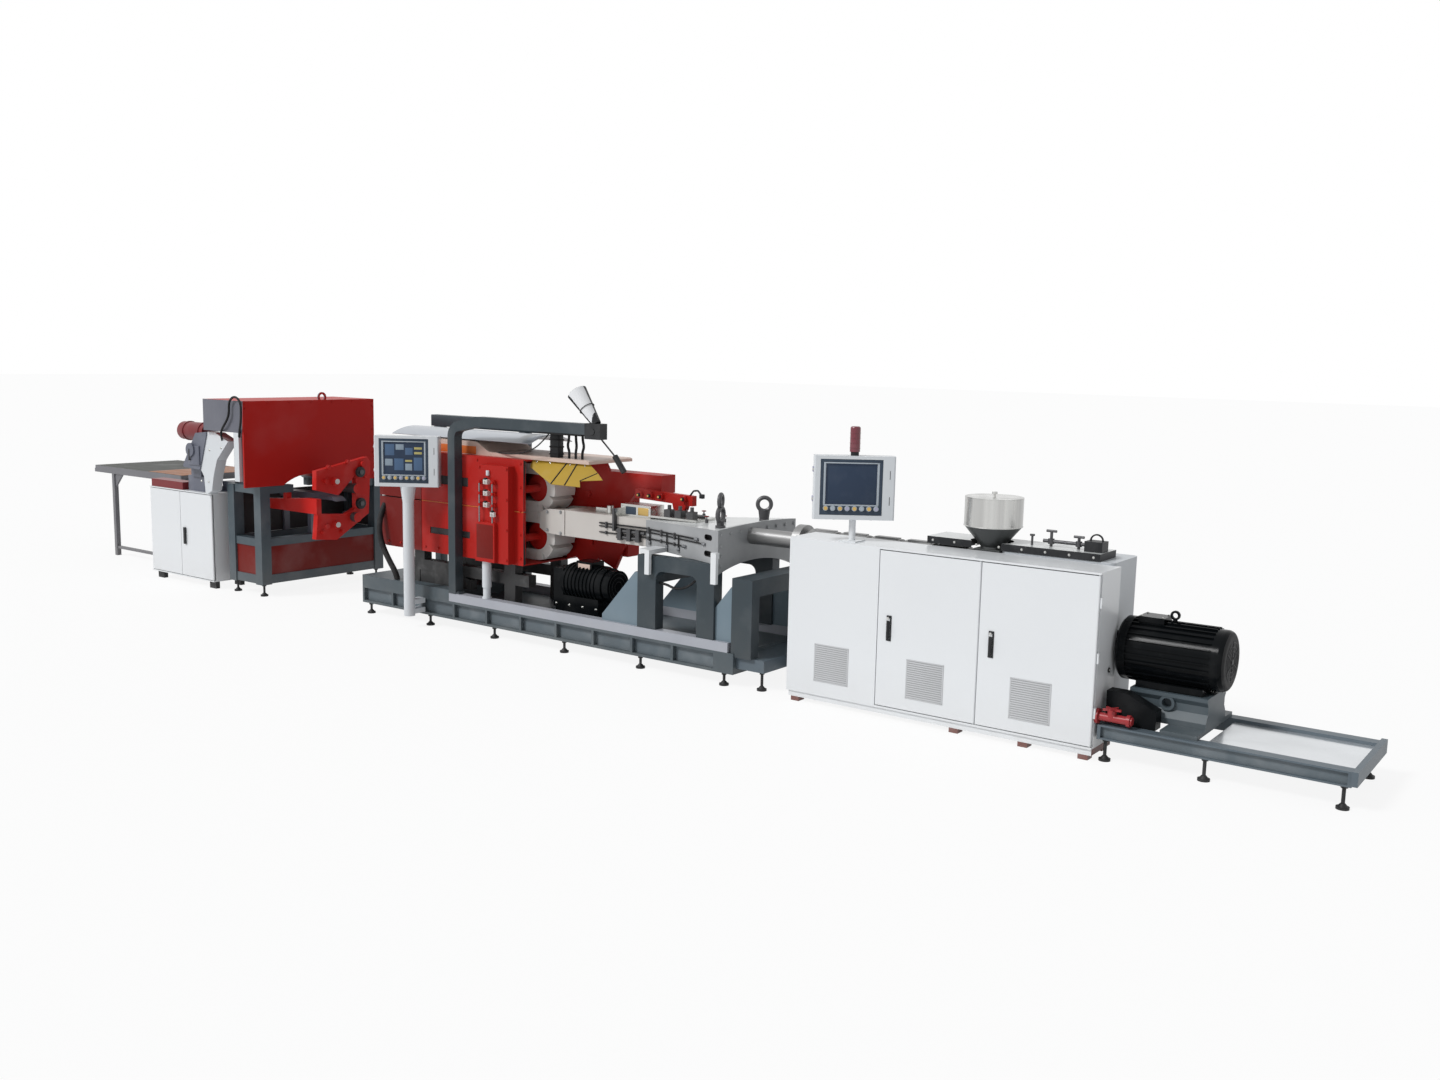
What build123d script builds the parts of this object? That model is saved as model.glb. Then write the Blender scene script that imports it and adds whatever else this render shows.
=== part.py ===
from build123d import *
import os
from math import cos, sin, tan, radians

os.makedirs("parts", exist_ok=True)

# Pipe extrusion line, +X towards the motor end, +Y to the back, +Z up, in millimetres.
# The origin is on the floor, below the pipe axis, near the middle of the line.

# Shared sizes
centre_height = 1000
seat_gap = 0.3
panel_gap = 6

# Levelling feet
foot_radius = 34
foot_pad = 14
foot_cone = 16
stud_radius = 10
nut_radius = 19
nut_height = 16

# Front cabinet of the extruder
cabinet_left = 2730
cabinet_length = 2090
cabinet_bottom = 68
cabinet_height = 1025
cabinet_front = -409
cabinet_depth = 314
cabinet_sheet = 12
door_thickness = 18
hinge_radius = 9
pin_radius = 4
vent_width = 250
vent_height = 243
vent_bottom = 166
vent_from_edge = 216
vent_depth = 3
vent_slats = 9
handle_width = 28
handle_height = 146
handle_bottom = 516
handle_from_edge = 66
handle_depth = 16
skid_height = 38
skid_inset = 12
skid_width = 70
wedge_foot = 60
cabinet_right = cabinet_left + cabinet_length
cabinet_top = cabinet_bottom + cabinet_height
cabinet_back = cabinet_front + cabinet_depth
left_seam = cabinet_left + 672
right_seam = cabinet_right - 727

# Extruder base rails, from the die to beyond the motor
rail_bottom = 130
rail_height = 85
rail_width = 80
rail_wall = 10
web_recess = 24
rail_half_span = 370
rail_left = 2290
rail_right = cabinet_right + 1360
rail_front_start = cabinet_right + 15
rail_top = rail_bottom + rail_height
rail_inner = rail_half_span - rail_width
cross_width = 80
end_bar = 32
tray_left = cabinet_right + 600
tray_sheet = 6
foot_inset = 40

# Screw barrel, gearbox and their bed, behind the cabinet
barrel_radius = 80
barrel_left = 2600
heater_bands = 5
flange_radius = 118
flange_width = 60
adapter_radius = 58
bed_left = 2760
bed_front = -85
bed_back = 330
bed_top = centre_height - 220
gearbox_left = 4060
gearbox_right = cabinet_right - 44
throat_left = 3870
throat_top = centre_height + 95
deck_left = 3560
deck_right = gearbox_right - 86
deck_bottom = throat_top + 10
deck_thickness = 45
deck_back = 170

# Hopper
hopper_x = 3965
hopper_radius = 180
hopper_wall = 3
hopper_outlet = 72
hopper_flange = 96
hopper_cylinder_bottom = throat_top + 150
hopper_top = hopper_cylinder_bottom + 175

# Drive motor and its pedestal
motor_z = 610
motor_radius = 188
motor_left = cabinet_right + 20
motor_body_right = motor_left + 532
cowl_radius = 178
cowl_right = motor_body_right + 78
motor_fins = 28
pedestal_top = motor_z - motor_radius - 6
pedestal_left = cabinet_right + 125
pedestal_right = pedestal_left + 440

# Operator panels
panel_turn = 36
panel_width = 518
panel_height = 407
panel_depth = 110
bezel_width = 397
bezel_height = 357
bezel_depth = 5
screen_width = 330
screen_height = 262
screen_depth = 6
panel_x = cabinet_left + 400
panel_y = -300
panel_bottom = cabinet_top + 143
panel_pole = 22
beacon_radius = 33
beacon_height = 186

# Die bed and its stand
beam_left = 448
beam_half_width = 150
beam_bottom = centre_height - 152
beam_top = centre_height + 48
flare_start = 1290
die_right = 2110
die_front = -400
die_back = 560
die_bottom = centre_height - 165
die_top = centre_height + 72
end_plate = 26
eye_ys = (-287, 243)
shoe_left = 217
mandrel_radius = 36
mandrel_tip = -100
stand_front = -400
post_depth = 90
post_width = 168
post1_left = 1424
post2_left = 2262
stand_beam_bottom = centre_height - 268
cross_beam_bottom = centre_height - 360

# Base of the corrugator
base_left = -1640
base_right = 2290
base_half_width = 409
base_bottom = 91
base_height = 147
base_top = base_bottom + base_height
deck_step = -554
high_deck = 329
strip_top = 306
strip_width = 80
strip_right = 2240
bay_pitch = 376
bay_depth = 34
bay_wall = 22

# Corrugator housings and mould chains
body_left = -1490
body_right = 210
body_half_width = 330
wall = 26
seam_gap = 10
upper_top = centre_height + 425
lower_bottom = centre_height - 400
wheel_x = 150
wheel_radius = 190
chain_half_width = 116
chain_left = -1240
bore_radius = 52
block_height = 84
block_pitch = 98
joint_width = 3
joint_depth = 56
wedge_half_angle = 6
corrugation_pitch = 49
corrugation_depth = 9

# Gantry over the corrugator
gantry_tube = 80
gantry_x = -510
gantry_y = -330
gantry_z = centre_height + 700
gantry_right = 915

# Second operator panel, on a post in front of the base
pedestal_x = -880
pedestal_y = -540
second_panel_bottom = 1156

# Cutter
cutter_face = -2826
cutter_length = 504
hood_left = cutter_face - cutter_length
upper_hood_left = -3438
face_plate = 20
saw_recess = 231
hood_front = -731
hood_back = 691
hood_bottom = centre_height + 1
upper_hood_bottom = hood_bottom + 484
hood_top = hood_bottom + 765
frame_front = -582
frame_back = 780
frame_post = 100
frame_foot = 107
sill_height = 80
mid_bottom = 454
mid_height = 70
arch_centre = -50
arch_radius = 500
arch_rise = 90
pipe_gap_front = -225
pipe_gap_back = 235

# Side cabinet of the cutter
side_left = -4505
side_right = -3475
side_front = -655
side_back = -275
side_bottom = 70
side_top = 892
side_sheet = 10

# Run-out table
table_left = -6370
table_right = -4720
table_front = -193
table_back = 773
table_top = 942
table_sheet = 30
table_leg = 44


def bar(x0, x1, y0, y1, z0, z1, mode=Mode.ADD):
    """Add a straight bar between two corners."""
    with Locations(((x0 + x1) / 2, (y0 + y1) / 2, (z0 + z1) / 2)):
        Box(x1 - x0, y1 - y0, z1 - z0, mode=mode)


def rod(start, end, radius, mode=Mode.ADD):
    """Add a round bar from one point to another."""
    run = Vector(*end) - Vector(*start)
    with BuildSketch(Plane(origin=start, z_dir=run)) as outline:
        Circle(radius)
    extrude(outline.sketch, amount=run.length, mode=mode)


def plate_xz(points, y0, y1, mode=Mode.ADD):
    """Add a plate whose outline is drawn in X and Z, from y0 back to y1."""
    with BuildSketch(Plane.XZ.offset(-y0)) as outline:
        with BuildLine():
            Polyline(*points, close=True)
        make_face()
    extrude(outline.sketch, amount=y0 - y1, mode=mode)


def plate_yz(points, x0, x1, mode=Mode.ADD):
    """Add a plate whose outline is drawn in Y and Z, from x0 to x1."""
    with BuildSketch(Plane.YZ.offset(x0)) as outline:
        with BuildLine():
            Polyline(*points, close=True)
        make_face()
    extrude(outline.sketch, amount=x1 - x0, mode=mode)


def plate_xy(points, z0, z1, mode=Mode.ADD):
    """Add a plate whose outline is drawn in X and Y, from z0 up to z1."""
    with BuildSketch(Plane.XY.offset(z0)) as outline:
        with BuildLine():
            Polyline(*points, close=True)
        make_face()
    extrude(outline.sketch, amount=z1 - z0, mode=mode)


def hose(points, radius):
    """Add a hose along straight runs that are joined by arcs as large as the runs allow."""
    bends = []
    for before, corner, after in zip(points, points[1:], points[2:]):
        run_in = Vector(*corner) - Vector(*before)
        run_out = Vector(*after) - Vector(*corner)
        half_turn = radians(run_in.get_angle(run_out)) / 2
        bends.append(0.45 * min(run_in.length, run_out.length) / tan(half_turn))
    with BuildLine() as route:
        FilletPolyline(*points, radius=bends)
    with BuildSketch(Plane(origin=points[0], z_dir=Vector(*points[1]) - Vector(*points[0]))) as outline:
        Circle(radius)
    sweep(outline.sketch, path=route.wires()[0])


def levelling_foot(x, y, top):
    """Add one levelling foot: pad, cone, stud and nut under a frame."""
    with BuildSketch(Plane.XY) as outline:
        with Locations((x, y)):
            Circle(foot_radius)
    extrude(outline.sketch, amount=foot_pad)
    with BuildSketch(Plane.XY.offset(foot_pad)) as outline:
        with Locations((x, y)):
            Circle(foot_radius * 0.8)
    extrude(outline.sketch, amount=foot_cone, taper=40)
    with BuildSketch(Plane.XY.offset(foot_pad)) as outline:
        with Locations((x, y)):
            Circle(stud_radius)
    extrude(outline.sketch, amount=top - foot_pad)
    with BuildSketch(Plane.XY.offset(top - nut_height)) as outline:
        with Locations((x, y)):
            RegularPolygon(nut_radius, 6)
    extrude(outline.sketch, amount=nut_height)


def about_axis(points):
    """Turn heights that are given from the pipe axis into heights from the floor."""
    return [(along, centre_height + rise) for along, rise in points]


# Levelling feet of the extruder rails, the corrugator base, the cutter and the table
foot_line = rail_half_span - foot_inset
extruder_foot_xs = [rail_left + 190, cabinet_right + 55, cabinet_right + 614, cabinet_right + 1320]
rear_foot_xs = [rail_left + 190, 3450, 4420, cabinet_right + 614, cabinet_right + 1320]
base_foot_count = 6
base_foot_first = -1564
base_foot_last = 2196
base_foot_y = 378

with BuildPart() as levelling_feet:
    for foot_x in extruder_foot_xs:
        levelling_foot(foot_x, -foot_line, rail_bottom)
    for foot_x in rear_foot_xs:
        levelling_foot(foot_x, foot_line, rail_bottom)
    base_foot_step = (base_foot_last - base_foot_first) / (base_foot_count - 1)
    for index in range(base_foot_count):
        foot_x = base_foot_first + index * base_foot_step
        levelling_foot(foot_x, -base_foot_y, base_bottom)
        levelling_foot(foot_x, base_foot_y, base_bottom)
    # The foot under the middle of the base stands on the origin
    levelling_foot(0, 0, base_bottom)
    for foot_x in (hood_left + frame_post / 2, cutter_face - frame_post / 2):
        levelling_foot(foot_x, frame_front + frame_post / 2, frame_foot)
        levelling_foot(foot_x, frame_back - frame_post / 2, frame_foot)
levelling_feet.part.label = "levelling_feet"
export_step(levelling_feet.part, "parts/levelling_feet.step")

# Extruder base: channels with their open side outwards, cross members and the end bar
with BuildPart() as extruder_base:
    for side_low, side_high, start in (
        (-rail_half_span, -rail_inner, rail_front_start),
        (rail_inner, rail_half_span, rail_left),
    ):
        bar(start, rail_right, side_low, side_high, rail_bottom, rail_top)
        web_y = side_low if side_low < 0 else side_high - web_recess
        bar(start + 20, rail_right - 20, web_y, web_y + web_recess, rail_bottom + rail_wall, rail_top - rail_wall,
            mode=Mode.SUBTRACT)
    bar(rail_left, rail_front_start + cross_width, bed_front, bed_front + rail_width, rail_bottom, rail_top)
    bar(rail_left, rail_left + 230, -rail_half_span, rail_inner, rail_bottom, rail_top)
    bar(rail_front_start, rail_front_start + cross_width, -rail_inner, rail_inner, rail_bottom, rail_top)
    for cross_x in (tray_left, (tray_left + rail_right) / 2, rail_right - cross_width):
        bar(cross_x, cross_x + cross_width / 2, -rail_inner, rail_inner, rail_bottom, rail_top - 25)
    bar(rail_right, rail_right + end_bar, -rail_half_span - 20, rail_half_span + 20, rail_bottom + 13,
        rail_top + 7)
extruder_base.part.label = "extruder_base"
export_step(extruder_base.part, "parts/extruder_base.step")

# Sheet tray between the rails
tray_z = rail_top - 25
with BuildPart() as rail_tray:
    bar(tray_left, rail_right - 2, -rail_inner + 1, rail_inner - 1, tray_z, tray_z + tray_sheet)
rail_tray.part.label = "rail_tray"
export_step(rail_tray.part, "parts/rail_tray.step")

# Red skid below the cabinet, with its feet
skid_bottom = cabinet_bottom - skid_height
with BuildPart() as cabinet_skid:
    skid_x0 = cabinet_left + skid_inset
    skid_x1 = cabinet_right
    skid_y0 = cabinet_front + skid_inset
    skid_y1 = cabinet_back
    bar(skid_x0, skid_x1, skid_y0, skid_y1, skid_bottom, cabinet_bottom)
    bar(skid_x0 + skid_width, skid_x1 - skid_width, skid_y0 + skid_width, skid_y1 - skid_width,
        skid_bottom, cabinet_bottom, mode=Mode.SUBTRACT)
    for wedge_x in (skid_x0 + 20, 3920, 4370, skid_x1 - 20 - wedge_foot):
        for wedge_y in (skid_y0, skid_y1 - skid_width):
            bar(wedge_x, wedge_x + wedge_foot, wedge_y, wedge_y + skid_width, 0, skid_bottom)
cabinet_skid.part.label = "cabinet_skid"
export_step(cabinet_skid.part, "parts/cabinet_skid.step")

# Cabinet carcass, open to the front, behind the panel and the two doors
carcass_front = cabinet_front + door_thickness + panel_gap
door_bottom = cabinet_bottom + cabinet_sheet + panel_gap
door_top = cabinet_top - cabinet_sheet - panel_gap
with BuildPart() as cabinet_shell:
    bar(cabinet_left, cabinet_right, carcass_front, cabinet_back, cabinet_bottom, cabinet_top - cabinet_sheet)
    bar(cabinet_left + cabinet_sheet, cabinet_right - cabinet_sheet, carcass_front, cabinet_back - cabinet_sheet,
        cabinet_bottom + cabinet_sheet, cabinet_top - cabinet_sheet, mode=Mode.SUBTRACT)
    bar(cabinet_left, cabinet_right, cabinet_front, carcass_front, cabinet_bottom, cabinet_bottom + cabinet_sheet)
    for hinge_x in (right_seam, cabinet_right):
        pin_x = hinge_x - panel_gap / 2 - hinge_radius
        with BuildSketch(Plane.XY.offset(cabinet_bottom + cabinet_sheet)):
            with Locations((pin_x, cabinet_front + hinge_radius)):
                Circle(pin_radius)
        extrude(amount=panel_gap + 10)
cabinet_shell.part.label = "cabinet_shell"
export_step(cabinet_shell.part, "parts/cabinet_shell.step")

with BuildPart() as cabinet_lid:
    bar(cabinet_left, cabinet_right, cabinet_front, cabinet_back, cabinet_top - cabinet_sheet, cabinet_top)
    for hinge_x in (right_seam, cabinet_right):
        pin_x = hinge_x - panel_gap / 2 - hinge_radius
        with BuildSketch(Plane.XY.offset(cabinet_top - cabinet_sheet)):
            with Locations((pin_x, cabinet_front + hinge_radius)):
                Circle(pin_radius)
        extrude(amount=-panel_gap - 10)
cabinet_lid.part.label = "cabinet_lid"
export_step(cabinet_lid.part, "parts/cabinet_lid.step")


def vent(left):
    """Cut the shallow vent field into a front panel and leave its slats standing."""
    front = cabinet_front
    bar(left, left + vent_width, front, front + vent_depth, vent_bottom, vent_bottom + vent_height,
        mode=Mode.SUBTRACT)
    pitch = vent_height / vent_slats
    for index in range(vent_slats):
        z = vent_bottom + (index + 0.5) * pitch
        plate_yz([(front + vent_depth, z - pitch * 0.3), (front + 0.5, z - pitch * 0.3),
                  (front + vent_depth, z + pitch * 0.3)], left, left + vent_width)


def swing_handle(left):
    """Add a swing handle: a dished plate with its lever."""
    front = cabinet_front
    bar(left, left + handle_width, front - 4, front, handle_bottom, handle_bottom + handle_height)
    bar(left + 5, left + handle_width - 5, front - handle_depth, front - 4, handle_bottom + 8,
        handle_bottom + handle_height - 8)


# Fixed left panel
with BuildPart() as left_panel:
    bar(cabinet_left, left_seam - panel_gap / 2, cabinet_front, carcass_front, cabinet_bottom + cabinet_sheet,
        cabinet_top - cabinet_sheet)
    vent(cabinet_left + vent_from_edge)
left_panel.part.label = "left_panel"
export_step(left_panel.part, "parts/left_panel.step")


def door_blank(left, right):
    """Add a door with a round hinge edge on its right, bored for the two pins."""
    pin_x = right - hinge_radius
    pin_y = cabinet_front + hinge_radius
    bar(left, pin_x, cabinet_front, cabinet_front + door_thickness, door_bottom, door_top)
    with BuildSketch(Plane.XY.offset(door_bottom)) as outline:
        with Locations((pin_x, pin_y)):
            Circle(hinge_radius)
    extrude(outline.sketch, amount=door_top - door_bottom)
    for level, depth in ((door_bottom, 12), (door_top, -12)):
        with BuildSketch(Plane.XY.offset(level)) as outline:
            with Locations((pin_x, pin_y)):
                Circle(pin_radius + seat_gap)
        extrude(outline.sketch, amount=depth, mode=Mode.SUBTRACT)
    vent(left + vent_from_edge)
    swing_handle(left + handle_from_edge)


with BuildPart() as middle_door:
    door_blank(left_seam + panel_gap / 2, right_seam - panel_gap / 2)
middle_door.part.label = "middle_door"
export_step(middle_door.part, "parts/middle_door.step")

with BuildPart() as right_door:
    door_blank(right_seam + panel_gap / 2, cabinet_right - panel_gap / 2)
right_door.part.label = "right_door"
export_step(right_door.part, "parts/right_door.step")

# Barrel with its end flange, heater bands, the adapter to the die and the feed throat
with BuildPart() as barrel:
    rod((barrel_left, 0, centre_height), (throat_left, 0, centre_height), barrel_radius)
    rod((barrel_left - flange_width, 0, centre_height), (barrel_left, 0, centre_height), flange_radius)
    rod((die_right + end_plate, 0, centre_height), (barrel_left - flange_width, 0, centre_height), adapter_radius)
    band_step = (throat_left - barrel_left - 60) / heater_bands
    for index in range(heater_bands):
        band_x = barrel_left + 40 + index * band_step
        rod((band_x, 0, centre_height), (band_x + band_step - 34, 0, centre_height), barrel_radius + 14)
        bar(band_x + 20, band_x + band_step - 54, -24, 24, centre_height + 80, centre_height + 100)
    bar(throat_left, gearbox_left, bed_front, -bed_front, centre_height - 90, throat_top)
    for support_x in (bed_left + 120, throat_left - 180):
        bar(support_x, support_x + 60, -70, 70, bed_top, centre_height)
barrel.part.label = "barrel"
export_step(barrel.part, "parts/barrel.step")

# Gearbox between barrel and motor, the bed in front of it and the post under the deck's end
with BuildPart() as gearbox:
    bar(gearbox_left, gearbox_right, bed_front, bed_back, rail_top, deck_bottom)
    fillet(gearbox.edges().filter_by(Axis.Z), 40)
    for split_z in (centre_height - 30, motor_z - 20):
        bar(gearbox_left + 60, gearbox_right - 60, bed_back, bed_back + 16, split_z, split_z + 40)
    for shaft_x, shaft_z, cap_radius in ((gearbox_left + 170, centre_height - 150, 74),
                                         (gearbox_right - 170, motor_z + 110, 92)):
        rod((shaft_x, bed_back, shaft_z), (shaft_x, bed_back + 22, shaft_z), cap_radius)
    bar(bed_left, gearbox_left + 60, bed_front, bed_back, rail_top, bed_top)
    for bay in range(3):
        bay_left = bed_left + 60 + bay * 420
        bar(bay_left, bay_left + 340, bed_back - 30, bed_back + 1, rail_top + 80, bed_top - 80, mode=Mode.SUBTRACT)
    bar(deck_left + 20, deck_left + 80, deck_back - 66, deck_back - 6, bed_top, deck_bottom)
gearbox.part.label = "gearbox"
export_step(gearbox.part, "parts/gearbox.step")

# Dark deck over the feed end, cut round for the hopper
deck_top = deck_bottom + deck_thickness
with BuildPart() as feed_deck:
    bar(deck_left, deck_right, bed_front - 5, deck_back, deck_bottom, deck_top)
    rod((hopper_x, 0, deck_bottom - 1), (hopper_x, 0, deck_top + 1), hopper_radius * 0.74, mode=Mode.SUBTRACT)
feed_deck.part.label = "feed_deck"
export_step(feed_deck.part, "parts/feed_deck.step")

# Hopper: turned shell on a square foot over the throat
with BuildPart() as hopper:
    with BuildSketch(Plane.XZ):
        with BuildLine():
            Polyline(
                (hopper_x + hopper_outlet, throat_top),
                (hopper_x + hopper_outlet, throat_top + 20),
                (hopper_x + hopper_radius, hopper_cylinder_bottom),
                (hopper_x + hopper_radius, hopper_top),
                (hopper_x + hopper_radius - hopper_wall, hopper_top),
                (hopper_x + hopper_radius - hopper_wall, hopper_cylinder_bottom + 1),
                (hopper_x + hopper_outlet - hopper_wall, throat_top + 21),
                (hopper_x + hopper_outlet - hopper_wall, throat_top),
                close=True,
            )
        make_face()
    revolve(axis=Axis((hopper_x, 0, 0), (0, 0, 1)))
    with BuildSketch(Plane.XY.offset(throat_top)):
        with Locations((hopper_x, 0)):
            Rectangle(hopper_flange * 1.8, 2 * -bed_front - 6)
            Circle(hopper_outlet - hopper_wall, mode=Mode.SUBTRACT)
    extrude(amount=8)
hopper.part.label = "hopper"
export_step(hopper.part, "parts/hopper.step")

with BuildPart() as hopper_lid:
    rod((hopper_x, 0, hopper_top + seat_gap), (hopper_x, 0, hopper_top + 5), hopper_radius)
    rod((hopper_x, 0, hopper_top + 5), (hopper_x, 0, hopper_top + 22), 7)
    rod((hopper_x, 0, hopper_top + 22), (hopper_x, 0, hopper_top + 36), 17)
hopper_lid.part.label = "hopper_lid"
export_step(hopper_lid.part, "parts/hopper_lid.step")

# Water pipes, taps and the terminal block on the deck
with BuildPart() as water_manifold:
    manifold_z = deck_top + 32
    rod((4290, 20, manifold_z), (4570, 20, manifold_z), 11)
    for tap_x, rise in ((4340, 62), (4514, 42)):
        rod((tap_x, 20, deck_top), (tap_x, 20, manifold_z + rise), 9)
        rod((tap_x - 32, 20, manifold_z + rise), (tap_x + 32, 20, manifold_z + rise), 8)
        rod((tap_x, 20, manifold_z - 16), (tap_x, 20, manifold_z + 16), 19)
    bar(4570, 4680, -40, 60, deck_top, deck_top + 62)
    with BuildSketch(Plane.XZ.offset(-20)):
        with Locations((4625, deck_top + 62)):
            Circle(42)
            Circle(33, mode=Mode.SUBTRACT)
    extrude(amount=9)
    rod((4226, 0, deck_top), (4226, 0, deck_top + 56), 7)
    rod((4226, 0, deck_top + 56), (4226, 0, deck_top + 67), 15)
water_manifold.part.label = "water_manifold"
export_step(water_manifold.part, "parts/water_manifold.step")

# Operator panel on the cabinet
with BuildPart() as panel_pole_part:
    with BuildSketch(Plane.XY.offset(cabinet_top)):
        with Locations((panel_x, panel_y)):
            Rectangle(125, 125)
    extrude(amount=8)
    rod((panel_x, panel_y, cabinet_top), (panel_x, panel_y, panel_bottom - seat_gap), panel_pole)
panel_pole_part.part.label = "panel_pole"
export_step(panel_pole_part.part, "parts/panel_pole.step")


def panel_box(builder):
    """Add an operator panel above its workplane, front face towards local -Y."""
    with Locations((0, 0, panel_height / 2)):
        Box(panel_width, panel_depth, panel_height)
    fillet(builder.edges().filter_by(Axis.Z), 12)
    with Locations((-20, -panel_depth / 2 + bezel_depth / 2, panel_height / 2 + 4)):
        Box(bezel_width, bezel_depth, bezel_height, mode=Mode.SUBTRACT)
    with Locations((-20, -panel_depth / 2 + bezel_depth, panel_height / 2 + 24)):
        Box(screen_width, 2 * screen_depth, screen_height, mode=Mode.SUBTRACT)
    with Locations((0, panel_depth / 2 + 6, panel_height / 2)):
        Box(panel_width * 0.7, 12, panel_height * 0.6)


panel_facing = (cos(radians(panel_turn)), sin(radians(panel_turn)), 0)
panel_plane = Plane(origin=(panel_x, panel_y, panel_bottom), x_dir=panel_facing, z_dir=(0, 0, 1))
with BuildPart(panel_plane) as operator_panel:
    panel_box(operator_panel)
operator_panel.part.label = "operator_panel"
export_step(operator_panel.part, "parts/operator_panel.step")

with BuildPart() as beacon:
    beacon_base = panel_bottom + panel_height
    rod((panel_x, panel_y, beacon_base), (panel_x, panel_y, beacon_base + 24), beacon_radius * 0.8)
    rod((panel_x, panel_y, beacon_base + 24), (panel_x, panel_y, beacon_base + beacon_height), beacon_radius)
    fillet(beacon.edges().group_by(Axis.Z)[-1], 14)
beacon.part.label = "beacon"
export_step(beacon.part, "parts/beacon.step")

# Motor pedestal: a casting across the rails, waisted below its top plate, with a bored boss
pedestal_base = rail_top + 26
pedestal_waist = [(-190, pedestal_base), (190, pedestal_base), (190, pedestal_base + 34), (156, pedestal_base + 80),
                  (156, pedestal_top - 50), (178, pedestal_top - 22), (178, pedestal_top), (-178, pedestal_top),
                  (-178, pedestal_top - 22), (-156, pedestal_top - 50), (-156, pedestal_base + 80),
                  (-190, pedestal_base + 34)]
boss_x = pedestal_left + 213
boss_z = pedestal_top - 58
with BuildPart() as motor_pedestal:
    bar(pedestal_right - 205, pedestal_right, -rail_half_span + 30, rail_half_span - 30, rail_top, pedestal_base)
    plate_yz(pedestal_waist, pedestal_left, pedestal_right)
    rod((boss_x, -150, boss_z), (boss_x, -176, boss_z), 44)
    rod((boss_x, -120, boss_z), (boss_x, -180, boss_z), 28, mode=Mode.SUBTRACT)
motor_pedestal.part.label = "motor_pedestal"
export_step(motor_pedestal.part, "parts/motor_pedestal.step")

# Drive motor: turned body and cowl, cooling fins, feet, terminal box and lifting eye
with BuildPart() as drive_motor:
    with BuildSketch(Plane.XZ):
        with BuildLine():
            Polyline((gearbox_right, motor_z), (gearbox_right, motor_z + 88), (motor_left, motor_z + 88),
                     (motor_left, motor_z + motor_radius - 14), (motor_left + 14, motor_z + motor_radius),
                     (motor_left + 60, motor_z + motor_radius), (motor_left + 60, motor_z + motor_radius - 12),
                     (motor_body_right, motor_z + motor_radius - 12), (motor_body_right, motor_z + cowl_radius),
                     (cowl_right - 36, motor_z + cowl_radius))
            RadiusArc((cowl_right - 36, motor_z + cowl_radius), (cowl_right, motor_z + cowl_radius - 36), 36)
            Polyline((cowl_right, motor_z + cowl_radius - 36), (cowl_right, motor_z), (gearbox_right, motor_z))
        make_face()
    revolve(axis=Axis((0, 0, motor_z), (1, 0, 0)))
    for index in range(motor_fins):
        angle = 360 / motor_fins * index
        fin_plane = Plane(origin=(motor_left + 60, 0, motor_z), x_dir=(0, cos(radians(angle)), sin(radians(angle))),
                          z_dir=(1, 0, 0))
        with BuildSketch(fin_plane):
            with Locations((motor_radius - 10, 0)):
                Rectangle(20, 7)
        extrude(amount=motor_body_right - motor_left - 60)
    for foot_y in (-150, 80):
        bar(pedestal_left + 20, pedestal_right - 40, foot_y, foot_y + 70, pedestal_top, pedestal_top + 40)
    bar(motor_left + 90, motor_left + 240, -70, 70, motor_z + 160, motor_z + 206)
    eye_z = motor_z + motor_radius + 34
    rod((motor_left + 280, 0, motor_z + 170), (motor_left + 280, 0, eye_z - 20), 13)
    with BuildSketch(Plane.XZ):
        with Locations((motor_left + 280, eye_z)):
            Circle(28)
            Circle(15, mode=Mode.SUBTRACT)
    extrude(amount=7, both=True)
drive_motor.part.label = "drive_motor"
export_step(drive_motor.part, "parts/drive_motor.step")

# Sheet guard in front of the coupling
guard_left = cabinet_right + 30
with BuildPart() as coupling_guard:
    plate_xz([(guard_left, rail_top), (guard_left + 290, rail_top), (guard_left + 290, rail_top + 108),
              (guard_left + 110, rail_top + 188), (guard_left, rail_top + 188)], -290, -200)
coupling_guard.part.label = "coupling_guard"
export_step(coupling_guard.part, "parts/coupling_guard.step")

# Red water inlet on the side of the cabinet
with BuildPart() as water_inlet:
    inlet_y = -352
    inlet_z = rail_top + 46
    rod((cabinet_right, inlet_y, inlet_z), (cabinet_right + 18, inlet_y, inlet_z), 44)
    rod((cabinet_right + 18, inlet_y, inlet_z), (cabinet_right + 210, inlet_y, inlet_z), 24)
    rod((cabinet_right + 180, inlet_y, inlet_z), (cabinet_right + 200, inlet_y, inlet_z), 34)
    rod((cabinet_right + 90, inlet_y, inlet_z), (cabinet_right + 90, inlet_y, inlet_z + 44), 26)
    with BuildSketch(Plane.XY.offset(inlet_z + 44)):
        with Locations((cabinet_right + 90, inlet_y)):
            Circle(22)
            with PolarLocations(34, 5):
                SlotOverall(40, 16)
    extrude(amount=12)
water_inlet.part.label = "water_inlet"
export_step(water_inlet.part, "parts/water_inlet.step")

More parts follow.
